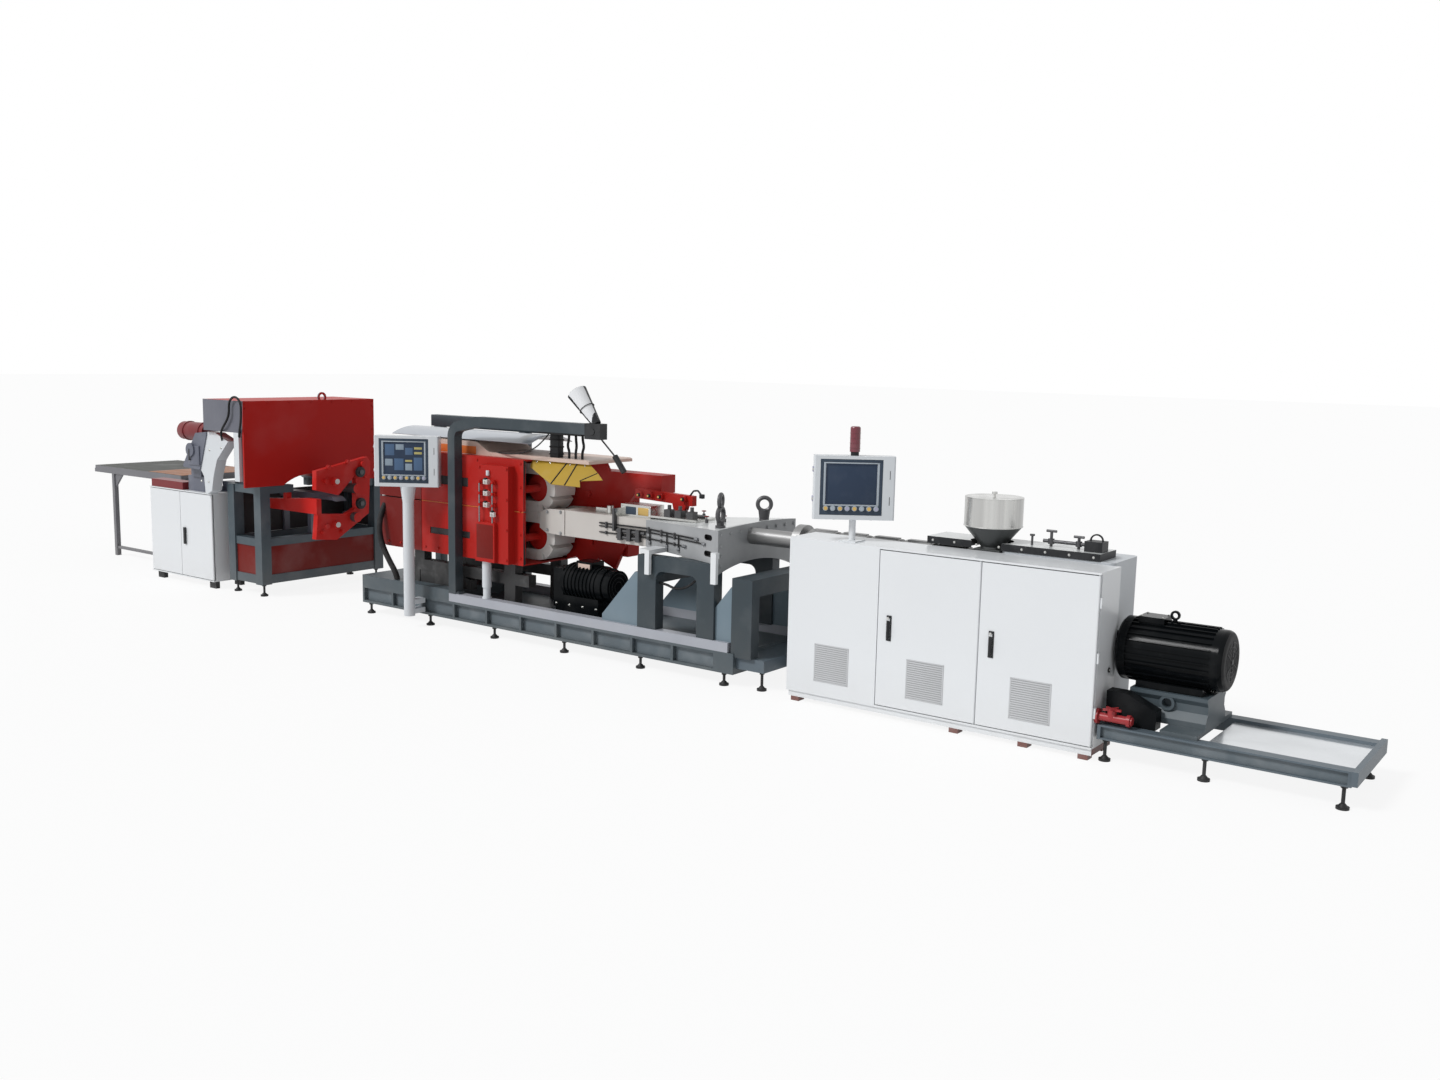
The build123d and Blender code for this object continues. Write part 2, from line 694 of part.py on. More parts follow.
# Die bed: straight beam that flares into the wide die block, wider to the back than to the front
die_middle = (die_front + die_back) / 2
with BuildPart() as die_bed:
    bar(beam_left, flare_start, -beam_half_width, beam_half_width, beam_bottom, beam_top)
    with BuildSketch(Plane.YZ.offset(flare_start)):
        with Locations((0, (beam_bottom + beam_top) / 2)):
            Rectangle(2 * beam_half_width, beam_top - beam_bottom)
    with BuildSketch(Plane.YZ.offset(die_right)):
        with Locations((die_middle, (die_bottom + die_top) / 2)):
            Rectangle(die_back - die_front, die_top - die_bottom)
    loft()
    # Side shoes that guide the beam between the chain wheels
    shoe = about_axis([(shoe_left, -110), (shoe_left + 70, -146), (beam_left + 30, -152), (beam_left + 30, 48),
                       (shoe_left + 70, 42), (shoe_left, 10)])
    plate_xz(shoe, -beam_half_width - 8, -beam_half_width + 22)
    plate_xz(shoe, beam_half_width - 22, beam_half_width + 8)
    # Lifting pads and the slots in the flare's front side
    for pad_y in eye_ys:
        rod((die_right - 40, pad_y, beam_top), (die_right - 40, pad_y, die_top + 4), 38)
    for slot_z in (centre_height + 13, centre_height - 100):
        with BuildSketch(Plane.XZ.offset(-die_front + 2)):
            with Locations((die_right - 76, slot_z)):
                SlotOverall(86, 40)
        extrude(amount=-70, mode=Mode.SUBTRACT)
    # Mandrel that reaches between the mould chains
    rod((mandrel_tip, 0, centre_height), (beam_left + 30, 0, centre_height), mandrel_radius)
    # End plate, crowned above and arched underneath
    with BuildSketch(Plane.YZ.offset(die_right)):
        with BuildLine():
            Line((die_front, die_bottom - 73), (die_front, die_top))
            ThreePointArc((die_front, die_top), (die_middle, die_top + 18), (die_back, die_top))
            Line((die_back, die_top), (die_back, die_bottom - 104))
            ThreePointArc((die_back, die_bottom - 104), (die_middle + 20, die_bottom - 9),
                          (die_front, die_bottom - 73))
        make_face()
    extrude(amount=end_plate)
    for rib_y in (-210, 210, 430):
        plate_xz([(die_right - 150, die_bottom + 6), (die_right, die_bottom + 6), (die_right, die_bottom - 14)],
                 rib_y, rib_y + 24)
die_bed.part.label = "die_bed"
export_step(die_bed.part, "parts/die_bed.step")


def lifting_eye(x, y, base, turn):
    """Add a forged lifting eye on its collar, its ring turned about the vertical."""
    rod((x, y, base), (x, y, base + 16), 34)
    rod((x, y, base + 16), (x, y, base + 62), 17)
    ring_axis = (cos(radians(turn)), sin(radians(turn)), 0)
    with BuildSketch(Plane(origin=(x, y, base + 110), z_dir=ring_axis)) as outline:
        Circle(56)
        Circle(36, mode=Mode.SUBTRACT)
    extrude(outline.sketch, amount=10, both=True)


with BuildPart() as lifting_eyes:
    lifting_eye(die_right - 40, eye_ys[0], die_top + 4, 30)
    lifting_eye(die_right - 40, eye_ys[1], die_top + 4, -54)
lifting_eyes.part.label = "lifting_eyes"
export_step(lifting_eyes.part, "parts/lifting_eyes.step")

# Stand of the die bed: a round-cornered portal and a braced post on each side, joined by cross beams
stand_top = die_bottom - seat_gap
portal_left = post1_left
portal_right = die_right - seat_gap
portal_height = stand_top - strip_top
window_left = post1_left + post_width
window_right = 1960
with BuildPart() as die_stand:
    for side in (-1, 1):
        y0 = stand_front if side < 0 else -stand_front - post_depth
        y1 = y0 + post_depth
        with BuildSketch(Plane.XZ.offset(-y0)):
            with Locations(((portal_left + portal_right) / 2, (strip_top + stand_top) / 2)):
                Rectangle(portal_right - portal_left, portal_height)
            with Locations(((window_left + window_right) / 2, (strip_top + stand_beam_bottom) / 2 - 50)):
                RectangleRounded(window_right - window_left, stand_beam_bottom - strip_top + 100, 60,
                                 mode=Mode.SUBTRACT)
        extrude(amount=-post_depth)
        # Braces: a triangular gusset to the left of each post
        plate_xz([(1070, strip_top), (post1_left, strip_top), (post1_left, 700), (1381, 700), (1070, 350)],
                 y0 + 22, y1 - 22)
        plate_xz([(1944, strip_top), (post2_left, strip_top), (post2_left, 691), (2240, 691), (1944, 334)],
                 y0 + 22, y1 - 22)
        bar(post2_left, post2_left + post_width, y0, y1, base_top, cross_beam_bottom + 120)
        bar(base_right, post2_left + post_width, y0, y1, rail_top, base_top)
    for left in (post1_left, post2_left):
        bar(left, left + post_width, stand_front, -stand_front, cross_beam_bottom, cross_beam_bottom + 120)
die_stand.part.label = "die_stand"
export_step(die_stand.part, "parts/die_stand.step")

# Corrugator base: long box frame with open bays along its sides
with BuildPart() as corrugator_base:
    bar(base_left, base_right, -base_half_width, base_half_width, base_bottom, base_top)
    bar(base_left, deck_step, -base_half_width, base_half_width, base_top, high_deck)
    bay_x = base_left + bay_wall
    while bay_x + bay_pitch - bay_wall < base_right:
        for side in (-1, 1):
            y0 = -base_half_width if side < 0 else base_half_width - bay_depth
            bar(bay_x, bay_x + bay_pitch - bay_wall, y0, y0 + bay_depth, base_bottom + 20, base_top - 20,
                mode=Mode.SUBTRACT)
        bay_x += bay_pitch
corrugator_base.part.label = "corrugator_base"
export_step(corrugator_base.part, "parts/corrugator_base.step")

with BuildPart() as base_rails:
    for side in (-1, 1):
        y0 = -base_half_width if side < 0 else base_half_width - strip_width
        bar(deck_step, strip_right, y0, y0 + strip_width, base_top, strip_top)
base_rails.part.label = "base_rails"
export_step(base_rails.part, "parts/base_rails.step")

# Carriage below the housings: two beams on columns, and the lubricator box at its left
with BuildPart() as carriage:
    for side in (-1, 1):
        y0 = -300 if side < 0 else 220
        bar(body_left + 340, 240, y0, y0 + 80, 430, 520)
        bar(body_left + 340, body_left + 460, y0, y0 + 80, high_deck, 430)
        bar(-30, 90, y0, y0 + 80, base_top, 430)
        bar(body_left + 400, body_left + 520, y0, y0 + 80, 520, lower_bottom)
        bar(-30, 90, y0, y0 + 80, 520, lower_bottom)
        plate_xz([(-1031, high_deck), (-1031, 491), (-875, 508), (-687, 482), (-422, 409), (-422, high_deck)],
                 y0 + 6, y0 + 74)
carriage.part.label = "carriage"
export_step(carriage.part, "parts/carriage.step")

# Lower and upper housings: side walls, floor or roof, the outlet wall and the wheels of the chains
seam = centre_height + 20
floor_sheet = 12
corner_radius = 90
end_seam = -964


def chain_wheels(side):
    """Add the two wheels and shafts that carry one mould chain."""
    centre_z = centre_height + side * (wheel_radius + 1)
    for shaft_x in (chain_left, wheel_x):
        rod((shaft_x, wall - body_half_width - 1, centre_z), (shaft_x, body_half_width - wall + 1, centre_z), 30)
        rod((shaft_x, -chain_half_width + 12, centre_z), (shaft_x, chain_half_width - 12, centre_z),
            wheel_radius - block_height - seat_gap)


def window_recess(left, right, low, high):
    """Sink a shallow window into the front and the back of a housing."""
    for face_y, depth in ((-body_half_width, 8), (body_half_width, -8)):
        bar(left, right, min(face_y, face_y + depth), max(face_y, face_y + depth), low, high, mode=Mode.SUBTRACT)


def corner_edges(housing, x, z):
    """Find the edges along Y that pass through one point of a housing's section."""
    return housing.edges().filter_by(Axis.Y).filter_by_position(Axis.X, x - 1, x + 1).filter_by_position(
        Axis.Z, z - 1, z + 1)


with BuildPart() as lower_housing:
    bar(body_left, body_right, -body_half_width, body_half_width, lower_bottom, seam - seam_gap / 2)
    bar(body_left + wall, body_right, -body_half_width + wall, body_half_width - wall, lower_bottom + floor_sheet,
        seam - seam_gap / 2, mode=Mode.SUBTRACT)
    fillet(corner_edges(lower_housing, body_left + wall, lower_bottom + floor_sheet), corner_radius - wall)
    fillet(corner_edges(lower_housing, body_left, lower_bottom), corner_radius)
    chain_wheels(-1)
    rod((body_left - 1, 0, centre_height), (body_left + wall + 1, 0, centre_height), bore_radius + 20,
        mode=Mode.SUBTRACT)
    window_recess(-864, -388, centre_height - 244, centre_height - 190)
    window_recess(end_seam - 3, end_seam + 3, lower_bottom, seam)
lower_housing.part.label = "lower_housing"
export_step(lower_housing.part, "parts/lower_housing.step")

with BuildPart() as upper_housing:
    bar(body_left, body_right, -body_half_width, body_half_width, seam + seam_gap / 2, upper_top)
    bar(body_left + wall, body_right, -body_half_width + wall, body_half_width - wall, seam + seam_gap / 2,
        upper_top - floor_sheet, mode=Mode.SUBTRACT)
    chain_wheels(1)
    rod((body_left - 1, 0, centre_height), (body_left + wall + 1, 0, centre_height), bore_radius + 20,
        mode=Mode.SUBTRACT)
    window_recess(-736, -408, centre_height + 171, centre_height + 243)
    window_recess(end_seam - 3, end_seam + 3, seam, upper_top)
upper_housing.part.label = "upper_housing"
export_step(upper_housing.part, "parts/upper_housing.step")


def mould_chain(side):
    """Add one endless loop of mould blocks, above (side 1) or below (side -1) the pipe axis."""
    centre_z = centre_height + side * (wheel_radius + 1)
    with BuildSketch(Plane.XZ.offset(-chain_half_width)) as outline:
        with Locations(((wheel_x + chain_left) / 2, centre_z)):
            SlotCenterToCenter(wheel_x - chain_left, 2 * wheel_radius)
            SlotCenterToCenter(wheel_x - chain_left, 2 * (wheel_radius - block_height), mode=Mode.SUBTRACT)
    extrude(outline.sketch, amount=2 * chain_half_width)
    # Joints between the blocks: closed on the straight runs, wedge-shaped round the wheels
    straight_blocks = int((wheel_x - chain_left) / block_pitch)
    for index in range(straight_blocks + 1):
        joint_x = wheel_x - index * block_pitch
        for outer in (-1, 1):
            edge_z = centre_z + outer * wheel_radius
            deep_z = centre_z + outer * (wheel_radius - joint_depth)
            bar(joint_x - joint_width / 2, joint_x + joint_width / 2, -chain_half_width - 1, chain_half_width + 1,
                min(edge_z, deep_z), max(edge_z, deep_z), mode=Mode.SUBTRACT)
    for shaft_x, facing in ((wheel_x, 1), (chain_left, -1)):
        for turn in (-66, -22, 22, 66):
            far = (wheel_radius + 20) / cos(radians(wedge_half_angle))
            near = wheel_radius - joint_depth
            wedge = [(near * cos(radians(turn)), near * sin(radians(turn))),
                     (far * cos(radians(turn - wedge_half_angle)), far * sin(radians(turn - wedge_half_angle))),
                     (far * cos(radians(turn + wedge_half_angle)), far * sin(radians(turn + wedge_half_angle)))]
            plate_xz([(shaft_x + facing * along, centre_z + up) for along, up in wedge],
                     -chain_half_width - 1, chain_half_width + 1, mode=Mode.SUBTRACT)
    # Half of the pipe's cavity, with the rings that shape its corrugations
    rod((chain_left - wheel_radius, 0, centre_height), (wheel_x + wheel_radius, 0, centre_height), bore_radius,
        mode=Mode.SUBTRACT)
    ring_x = chain_left + corrugation_pitch / 2
    while ring_x < wheel_x - corrugation_pitch:
        rod((ring_x, 0, centre_height), (ring_x + corrugation_pitch / 2, 0, centre_height),
            bore_radius + corrugation_depth, mode=Mode.SUBTRACT)
        ring_x += corrugation_pitch


with BuildPart() as upper_mould_chain:
    mould_chain(1)
upper_mould_chain.part.label = "upper_mould_chain"
export_step(upper_mould_chain.part, "parts/upper_mould_chain.step")

with BuildPart() as lower_mould_chain:
    mould_chain(-1)
lower_mould_chain.part.label = "lower_mould_chain"
export_step(lower_mould_chain.part, "parts/lower_mould_chain.step")

# Rear wall of the open mould end, and the body behind it
open_right = 825
wall_front = beam_half_width + 14
rear_outline = [(body_right, -400), (306, -365), (417, -455), (500, -445), (540, -352), (720, -425), (836, -200),
                (836, 90), (925, 200), (1177, 218), (1177, 343), (650, 343), (600, 425), (body_right, 425)]
with BuildPart() as rear_wall:
    plate_xz(about_axis(rear_outline), wall_front, wall_front + 30)
    bar(body_right, open_right, wall_front + 30, body_half_width, centre_height - 320, centre_height + 205)
    bar(body_right, 1177, wall_front + 30, body_half_width, centre_height + 205, centre_height + 343)
    for rib_x in (420, 620):
        bar(rib_x, rib_x + 24, wall_front + 30, body_half_width - 20, centre_height - 400, centre_height - 320)
    for boss_x, rise in ((440, 150), (640, 20), (470, -230), (690, -150)):
        rod((boss_x, wall_front, centre_height + rise), (boss_x, wall_front - 12, centre_height + rise), 26)
rear_wall.part.label = "rear_wall"
export_step(rear_wall.part, "parts/rear_wall.step")

# Yellow guard that slopes from the cover down to the front of the moulds
guard_plane = Plane(origin=(0, -body_half_width, upper_top - 163), x_dir=(1, 0, 0), z_dir=(0, -163, 106))
with BuildPart() as mould_guard:
    with BuildSketch(guard_plane):
        with BuildLine():
            Polyline((body_right, 130), (498, 0), (797, 0), (770, 50), (985, 75), (909, 130), (800, 194),
                     (body_right, 194), close=True)
        make_face()
    extrude(amount=-4)
mould_guard.part.label = "mould_guard"
export_step(mould_guard.part, "parts/mould_guard.step")

# Cream cover on top of the housings, with a raised motor hood at its left
cover_half_width = 250
hump_top = upper_top + 106
with BuildPart() as top_cover:
    with BuildSketch(Plane.XZ.offset(cover_half_width)):
        with BuildLine():
            Polyline((812, upper_top), (-1300, upper_top), (-1300, hump_top - 26))
            TangentArc((-1300, hump_top - 26), (-1274, hump_top), tangent=(0, 1))
            Line((-1274, hump_top), (-410, hump_top))
            Polyline((-410, hump_top), (-362, hump_top - 16), (-262, upper_top + 34), (-230, upper_top + 30),
                     (790, upper_top + 30), (812, upper_top + 22), (812, upper_top))
        make_face()
    extrude(amount=-2 * cover_half_width)
top_cover.part.label = "top_cover"
export_step(top_cover.part, "parts/top_cover.step")

# Valve box in front of the housings, on its jack leg
valve_front = -body_half_width - 70
with BuildPart() as valve_box:
    bar(-217, 115, valve_front, -body_half_width, lower_bottom + 7, upper_top - 55)
    bar(-220, -7, valve_front - 30, valve_front, lower_bottom + 11, centre_height - 75)
    for row in range(3):
        for column in range(3):
            valve_x = -170 + 72 * column
            valve_z = centre_height + 60 + 90 * row
            rod((valve_x, valve_front, valve_z), (valve_x, valve_front - 26, valve_z), 20)
            rod((valve_x, valve_front - 26, valve_z), (valve_x, valve_front - 40, valve_z), 12)
    rod((-155, -369, strip_top), (-155, -369, lower_bottom + 7), 30)
    rod((-155, -369, strip_top + 90), (-155, -369, lower_bottom + 7), 37)
    rod((-155, -369, strip_top), (-155, -369, strip_top + 14), 37)
valve_box.part.label = "valve_box"
export_step(valve_box.part, "parts/valve_box.step")

# Motor that drives the chains: ribbed body on a foot, gear head at its left
with BuildPart() as chain_drive:
    drive_z = centre_height - 505
    rod((500, -80, drive_z), (900, -80, drive_z), 138)
    rod((900, -80, drive_z), (967, -80, drive_z), 126)
    for rib in range(9):
        rod((520 + 38 * rib, -80, drive_z), (534 + 38 * rib, -80, drive_z), 146)
    bar(400, 500, -190, 30, base_top + 60, centre_height - 400)
    bar(420, 860, -190, 30, base_top, drive_z - 100)
    bar(600, 760, -150, -10, drive_z + 100, drive_z + 172)
chain_drive.part.label = "chain_drive"
export_step(chain_drive.part, "parts/chain_drive.step")

# Small machines on the die bed: motor case, plates, valves and the pipes along the beam's front
with BuildPart() as die_equipment:
    bar(1004, flare_start, -100, 60, beam_top, beam_top + 93)
    bar(flare_start, 1722, -110, 120, beam_top + 14, beam_top + 29)
    bar(flare_start - 40, flare_start, 60, 120, beam_top, beam_top + 29)
    for block_x in (1400, 1500, 1610):
        bar(block_x, block_x + 56, -80, -20, beam_top + 29, beam_top + 80)
        rod((block_x + 28, -50, beam_top + 80), (block_x + 28, -50, beam_top + 112), 14)
    rod((1380, 40, beam_top + 40), (1700, 40, beam_top + 40), 12)
    rod((860, -60, beam_top), (860, -60, beam_top + 60), 24)
    bar(700, 1008, -40, 20, beam_top, beam_top + 34)
    for pipe_rise, pipe_right in ((-56, 1290), (-104, 1240)):
        rod((1020, -beam_half_width - 12, centre_height + pipe_rise),
            (pipe_right, -beam_half_width - 12, centre_height + pipe_rise), 12)
    for clip_x in (1040, 1130, 1215):
        bar(clip_x, clip_x + 34, -beam_half_width - 34, -beam_half_width, centre_height - 124, centre_height - 34)
    bar(990, 1008, -beam_half_width - 34, -beam_half_width, centre_height - 60, beam_top + 60)
    bar(990, 1008, -beam_half_width - 34, 40, beam_top, beam_top + 60)
die_equipment.part.label = "die_equipment"
export_step(die_equipment.part, "parts/die_equipment.step")

with BuildPart() as air_manifold:
    plate_xz(about_axis([(1000, 170), (1550, 150), (1550, 225), (1000, 240)]), 66, 116)
    plate_xz(about_axis([(1350, 200), (1381, 77), (1460, 77), (1510, 200)]), 66, 116)
    for valve_x in (1060, 1160, 1260, 1480):
        rod((valve_x, 91, centre_height + 200), (valve_x, 40, centre_height + 200), 24)
air_manifold.part.label = "air_manifold"
export_step(air_manifold.part, "parts/air_manifold.step")

with BuildPart() as bed_brackets:
    bar(2105, 2150, stand_front - 40, stand_front - 12, 704, 921)
    bar(2105, 2150, stand_front - 12, stand_front, 880, 921)
    bar(1520, 1560, stand_front - 40, stand_front - 12, 704, 880)
    bar(1450, 1560, stand_front - 12, -234, centre_height - 152, centre_height - 120)
bed_brackets.part.label = "bed_brackets"
export_step(bed_brackets.part, "parts/bed_brackets.step")

# Gantry: front tube from the base strip, rear rail on two posts, cross bars
gantry_half = gantry_tube / 2
rear_y = 374
front_y = gantry_y - 44
with BuildPart() as gantry:
    with BuildLine():
        FilletPolyline((gantry_x, front_y, strip_top), (gantry_x, front_y, gantry_z - 60),
                       (gantry_x + 280, front_y, gantry_z), (gantry_right, front_y, gantry_z), radius=90)
    with BuildSketch(Plane.XY.offset(strip_top)):
        with Locations((gantry_x, front_y)):
            Rectangle(gantry_tube, gantry_tube)
    sweep()
    bar(-1600, gantry_right, rear_y - gantry_half, rear_y + gantry_half, gantry_z - 120, gantry_z - 20)
    for post_x in (-1560, -510):
        bar(post_x, post_x + gantry_tube, rear_y - gantry_half, rear_y + gantry_half, high_deck, gantry_z - 120)
    for cross_x in (-40, 830):
        bar(cross_x, cross_x + gantry_tube, gantry_y - 4, rear_y - gantry_half, gantry_z - 38, gantry_z - 20)
    bar(gantry_x - gantry_half, gantry_x + 74, front_y - 34, front_y + gantry_half, strip_top, strip_top + 14)
gantry.part.label = "gantry"
export_step(gantry.part, "parts/gantry.step")

# Arched sheet canopy on short legs that stand on the cover
canopy_edge = upper_top + 120
canopy_sheet = 4
with BuildPart() as canopy:
    with BuildSketch(Plane.YZ.offset(-1430)):
        with BuildLine():
            ThreePointArc((-240, canopy_edge), (0, canopy_edge + 58), (240, canopy_edge))
            Line((240, canopy_edge), (236, canopy_edge - canopy_sheet))
            ThreePointArc((236, canopy_edge - canopy_sheet), (0, canopy_edge + 58 - canopy_sheet),
                          (-236, canopy_edge - canopy_sheet))
            Line((-236, canopy_edge - canopy_sheet), (-240, canopy_edge))
        make_face()
    extrude(amount=1620)
    for leg_x in (-1200, -460):
        for leg_y in (-200, 180):
            bar(leg_x, leg_x + 20, leg_y, leg_y + 20, hump_top, canopy_edge + 15)
canopy.part.label = "canopy"
export_step(canopy.part, "parts/canopy.step")

# Duct and hoses that drop from a bridge plate to the cover, and the service hose down to the deck
with BuildPart() as hoses:
    drop_bottom = upper_top + 30
    bar(370, 730, gantry_y - 4, rear_y - gantry_half, gantry_z - 60, gantry_z - 42)
    bar(393, 480, -230, -170, drop_bottom, gantry_z - 60)
    for hose_x in (565, 635, 703):
        rod((hose_x, -200, drop_bottom), (hose_x, -200, gantry_z - 60), 10)
    hose([(-1440, -330, 900), (-1440, -380, 900), (-1425, -400, 830), (-1375, -395, 660), (-1290, -385, 490),
          (-1225, -370, 390), (-1225, -370, high_deck)], 24)
hoses.part.label = "hoses"
export_step(hoses.part, "parts/hoses.step")

# Work lamp and its switch on a bent arm
with BuildPart() as work_lamp:
    bar(gantry_right, gantry_right + 150, gantry_y - 84, gantry_y - 4, gantry_z - 70, gantry_z + 45)
    with BuildSketch(Plane(origin=(gantry_right + 85, gantry_y - 44, gantry_z + 40), z_dir=(-210, 0, 240))):
        Circle(34)
    with BuildSketch(Plane(origin=(gantry_right - 110, gantry_y - 44, gantry_z + 263), z_dir=(-210, 0, 240))):
        Circle(76)
    loft()
    rod((gantry_right + 130, gantry_y - 44, gantry_z - 68), (gantry_right + 265, gantry_y - 44, gantry_z - 185), 6)
    rod((gantry_right + 262, gantry_y - 44, gantry_z - 182), (gantry_right + 350, gantry_y - 44, gantry_z - 290), 22)
work_lamp.part.label = "work_lamp"
export_step(work_lamp.part, "parts/work_lamp.step")

# Second operator panel on its post
with BuildPart() as panel_post:
    rod((pedestal_x, pedestal_y, base_bottom + 4), (pedestal_x, pedestal_y, second_panel_bottom - seat_gap), 45)
    with Locations((pedestal_x, pedestal_y, second_panel_bottom - seat_gap - 65)):
        Cone(bottom_radius=45, top_radius=64, height=130)
    for clamp_z in (base_bottom + 20, base_top - 50):
        bar(pedestal_x - 40, pedestal_x + 40, pedestal_y, -base_half_width, clamp_z, clamp_z + 40)
panel_post.part.label = "panel_post"
export_step(panel_post.part, "parts/panel_post.step")

second_panel_plane = Plane(origin=(pedestal_x, pedestal_y, second_panel_bottom), x_dir=panel_facing, z_dir=(0, 0, 1))
with BuildPart(second_panel_plane) as corrugator_panel:
    panel_box(corrugator_panel)
corrugator_panel.part.label = "corrugator_panel"
export_step(corrugator_panel.part, "parts/corrugator_panel.step")

# Cutter: frame of posts and beams, open in the middle of its top for the pipe
frame_x0 = hood_left
frame_x1 = cutter_face
with BuildPart() as cutter_frame:
    for post_y in (frame_front, frame_back - frame_post):
        for post_x in (frame_x0, frame_x1 - frame_post):
            bar(post_x, post_x + frame_post, post_y, post_y + frame_post, frame_foot, hood_bottom)
    for z0, z1 in ((frame_foot + 6, frame_foot + 6 + sill_height), (mid_bottom, mid_bottom + mid_height),
                   (hood_bottom - 70, hood_bottom)):
        for beam_y in (frame_front, frame_back - frame_post):
            bar(frame_x0, frame_x1, beam_y + 10, beam_y + frame_post - 10, z0, z1)
        for beam_x in (frame_x0, frame_x1 - frame_post):
            bar(beam_x + 10, beam_x + frame_post - 10, frame_front, frame_back, z0, z1)
    bar(frame_x0 - 1, frame_x1 + 1, pipe_gap_front, pipe_gap_back, hood_bottom - 71, hood_bottom + 1,
        mode=Mode.SUBTRACT)
cutter_frame.part.label = "cutter_frame"
export_step(cutter_frame.part, "parts/cutter_frame.step")

with BuildPart() as frame_panels:
    panel_z0 = frame_foot + 6 + sill_height
    for panel_px in (frame_x0 + 20, frame_x1 - 40):
        bar(panel_px, panel_px + 20, frame_front + frame_post, frame_back - frame_post, panel_z0, mid_bottom)
    for panel_py in (frame_front + 20, frame_back - 40):
        bar(frame_x0 + frame_post, frame_x1 - frame_post, panel_py, panel_py + 20, panel_z0, mid_bottom)
frame_panels.part.label = "frame_panels"
export_step(frame_panels.part, "parts/frame_panels.step")

with BuildPart() as cutter_hood:
    bar(cutter_face - face_plate, cutter_face, hood_front, hood_back, hood_bottom, hood_top)
    bar(upper_hood_left, cutter_face, hood_front, hood_back, upper_hood_bottom, hood_top)
    bar(hood_left, cutter_face, hood_front + saw_recess, hood_back, hood_bottom, upper_hood_bottom)
    bar(-2976, -2904, hood_front, hood_front + 30, hood_bottom + 50, upper_hood_bottom)
    arch_z = centre_height + arch_rise - arch_radius
    rod((hood_left - 1, arch_centre, arch_z), (cutter_face + 1, arch_centre, arch_z), arch_radius,
        mode=Mode.SUBTRACT)
    with BuildSketch(Plane.YZ.offset(-2900)):
        with Locations((150, hood_top + 22)):
            Circle(46)
            Circle(27, mode=Mode.SUBTRACT)
    extrude(amount=12)
cutter_hood.part.label = "cutter_hood"
export_step(cutter_hood.part, "parts/cutter_hood.step")

# Pipe clamp in front of the cutter: a C-shaped plate with bolts and rollers, and the bar that carries it
clamp_left = cutter_face + 346
clamp_right = clamp_left + 60
clamp_outline = [(-284, -17), (-279, 154), (284, 254), (319, 208), (290, -270), (-72, -485), (-296, -462),
                 (-272, -233), (39, -260), (150, -210), (150, 100), (-44, -78)]
with BuildPart() as pipe_clamp:
    plate_yz(about_axis(clamp_outline), clamp_left, clamp_right)
    for bolt_y, rise, bolt_radius, reach in (
        (-90, 52, 34, 46), (-190, 60, 22, 30), (-90, -341, 34, 46), (-190, -350, 22, 30), (220, 190, 26, 30),
    ):
        rod((clamp_right, bolt_y, centre_height + rise), (clamp_right + reach, bolt_y, centre_height + rise),
            bolt_radius)
    for roller_z in (centre_height - 26, centre_height - 290):
        rod((clamp_left - 70, 120, roller_z), (clamp_right + 60, 120, roller_z), 44)
    plate_xz(about_axis([(-3320, -230), (-3320, -153), (-3129, -146), (-2554, -99), (clamp_right, -99),
                         (clamp_right, -236), (-3133, -236)]), -284, -234)
    for hanger_x in (frame_x0 + 20, frame_x1 - 80):
        bar(hanger_x, hanger_x + 50, -284, -234, centre_height - 170, hood_bottom - 70)
pipe_clamp.part.label = "pipe_clamp"
export_step(pipe_clamp.part, "parts/pipe_clamp.step")

# Trough that carries the pipe through the cutter, on two legs from the middle beams
with BuildPart() as pipe_trough:
    plate_xz(about_axis([(-3320, -150), (-2500, -130), (-2440, -138), (-2500, -100), (-2900, -84),
                         (-3320, -92)]), -60, 60)
    trough_bore = centre_height - 10
    rod((-3330, 0, trough_bore), (-2430, 0, trough_bore), 92, mode=Mode.SUBTRACT)
    for leg_x in (frame_x0 + 20, frame_x1 - 80):
        bar(leg_x, leg_x + 50, -30, 30, mid_bottom + mid_height + seat_gap, centre_height - 125)
pipe_trough.part.label = "pipe_trough"
export_step(pipe_trough.part, "parts/pipe_trough.step")

# Saw unit on the side cabinet: leaning guard box on a slide base
with BuildPart() as saw_unit:
    plate_xz([(-3854, 1122), (-3626, 1447), (-3440, 1466), (-3569, 1112)], -700, -580)
    fillet(saw_unit.edges().filter_by(Axis.Y), 16)
    bar(-3840, -3680, -620, -500, 1030, 1125)
    bar(-3924, -3661, -600, -440, side_top, 1034)
    bar(-3650, -3484, -420, -310, side_top, 986)
    bar(-3661, -3600, -460, -310, side_top, 940)
    rod((-3690, -700, 1290), (-3690, -724, 1290), 62)
saw_unit.part.label = "saw_unit"
export_step(saw_unit.part, "parts/saw_unit.step")

with BuildPart() as saw_arm:
    plate_xz([(-3440, 1466), (-3321, 1462), (-3127, 1394), (-3310, 1217), (-3369, 1068), (-3404, 930), (-3480, side_top),
              (-3505, side_top), (-3521, 1057), (-3569, 1112)], -690, -590)
saw_arm.part.label = "saw_arm"
export_step(saw_arm.part, "parts/saw_arm.step")

with BuildPart() as saw_motor:
    rod((-4130, -490, 1440), (-3720, -490, 1440), 85)
    rod((-4150, -490, 1440), (-4130, -490, 1440), 70)
    rod((-4050, -490, 1440), (-4030, -490, 1440), 92)
    rod((-3800, -490, 1440), (-3780, -490, 1440), 92)
    bar(-3760, -3640, -580, -540, 1330, 1420)
saw_motor.part.label = "saw_motor"
export_step(saw_motor.part, "parts/saw_motor.step")

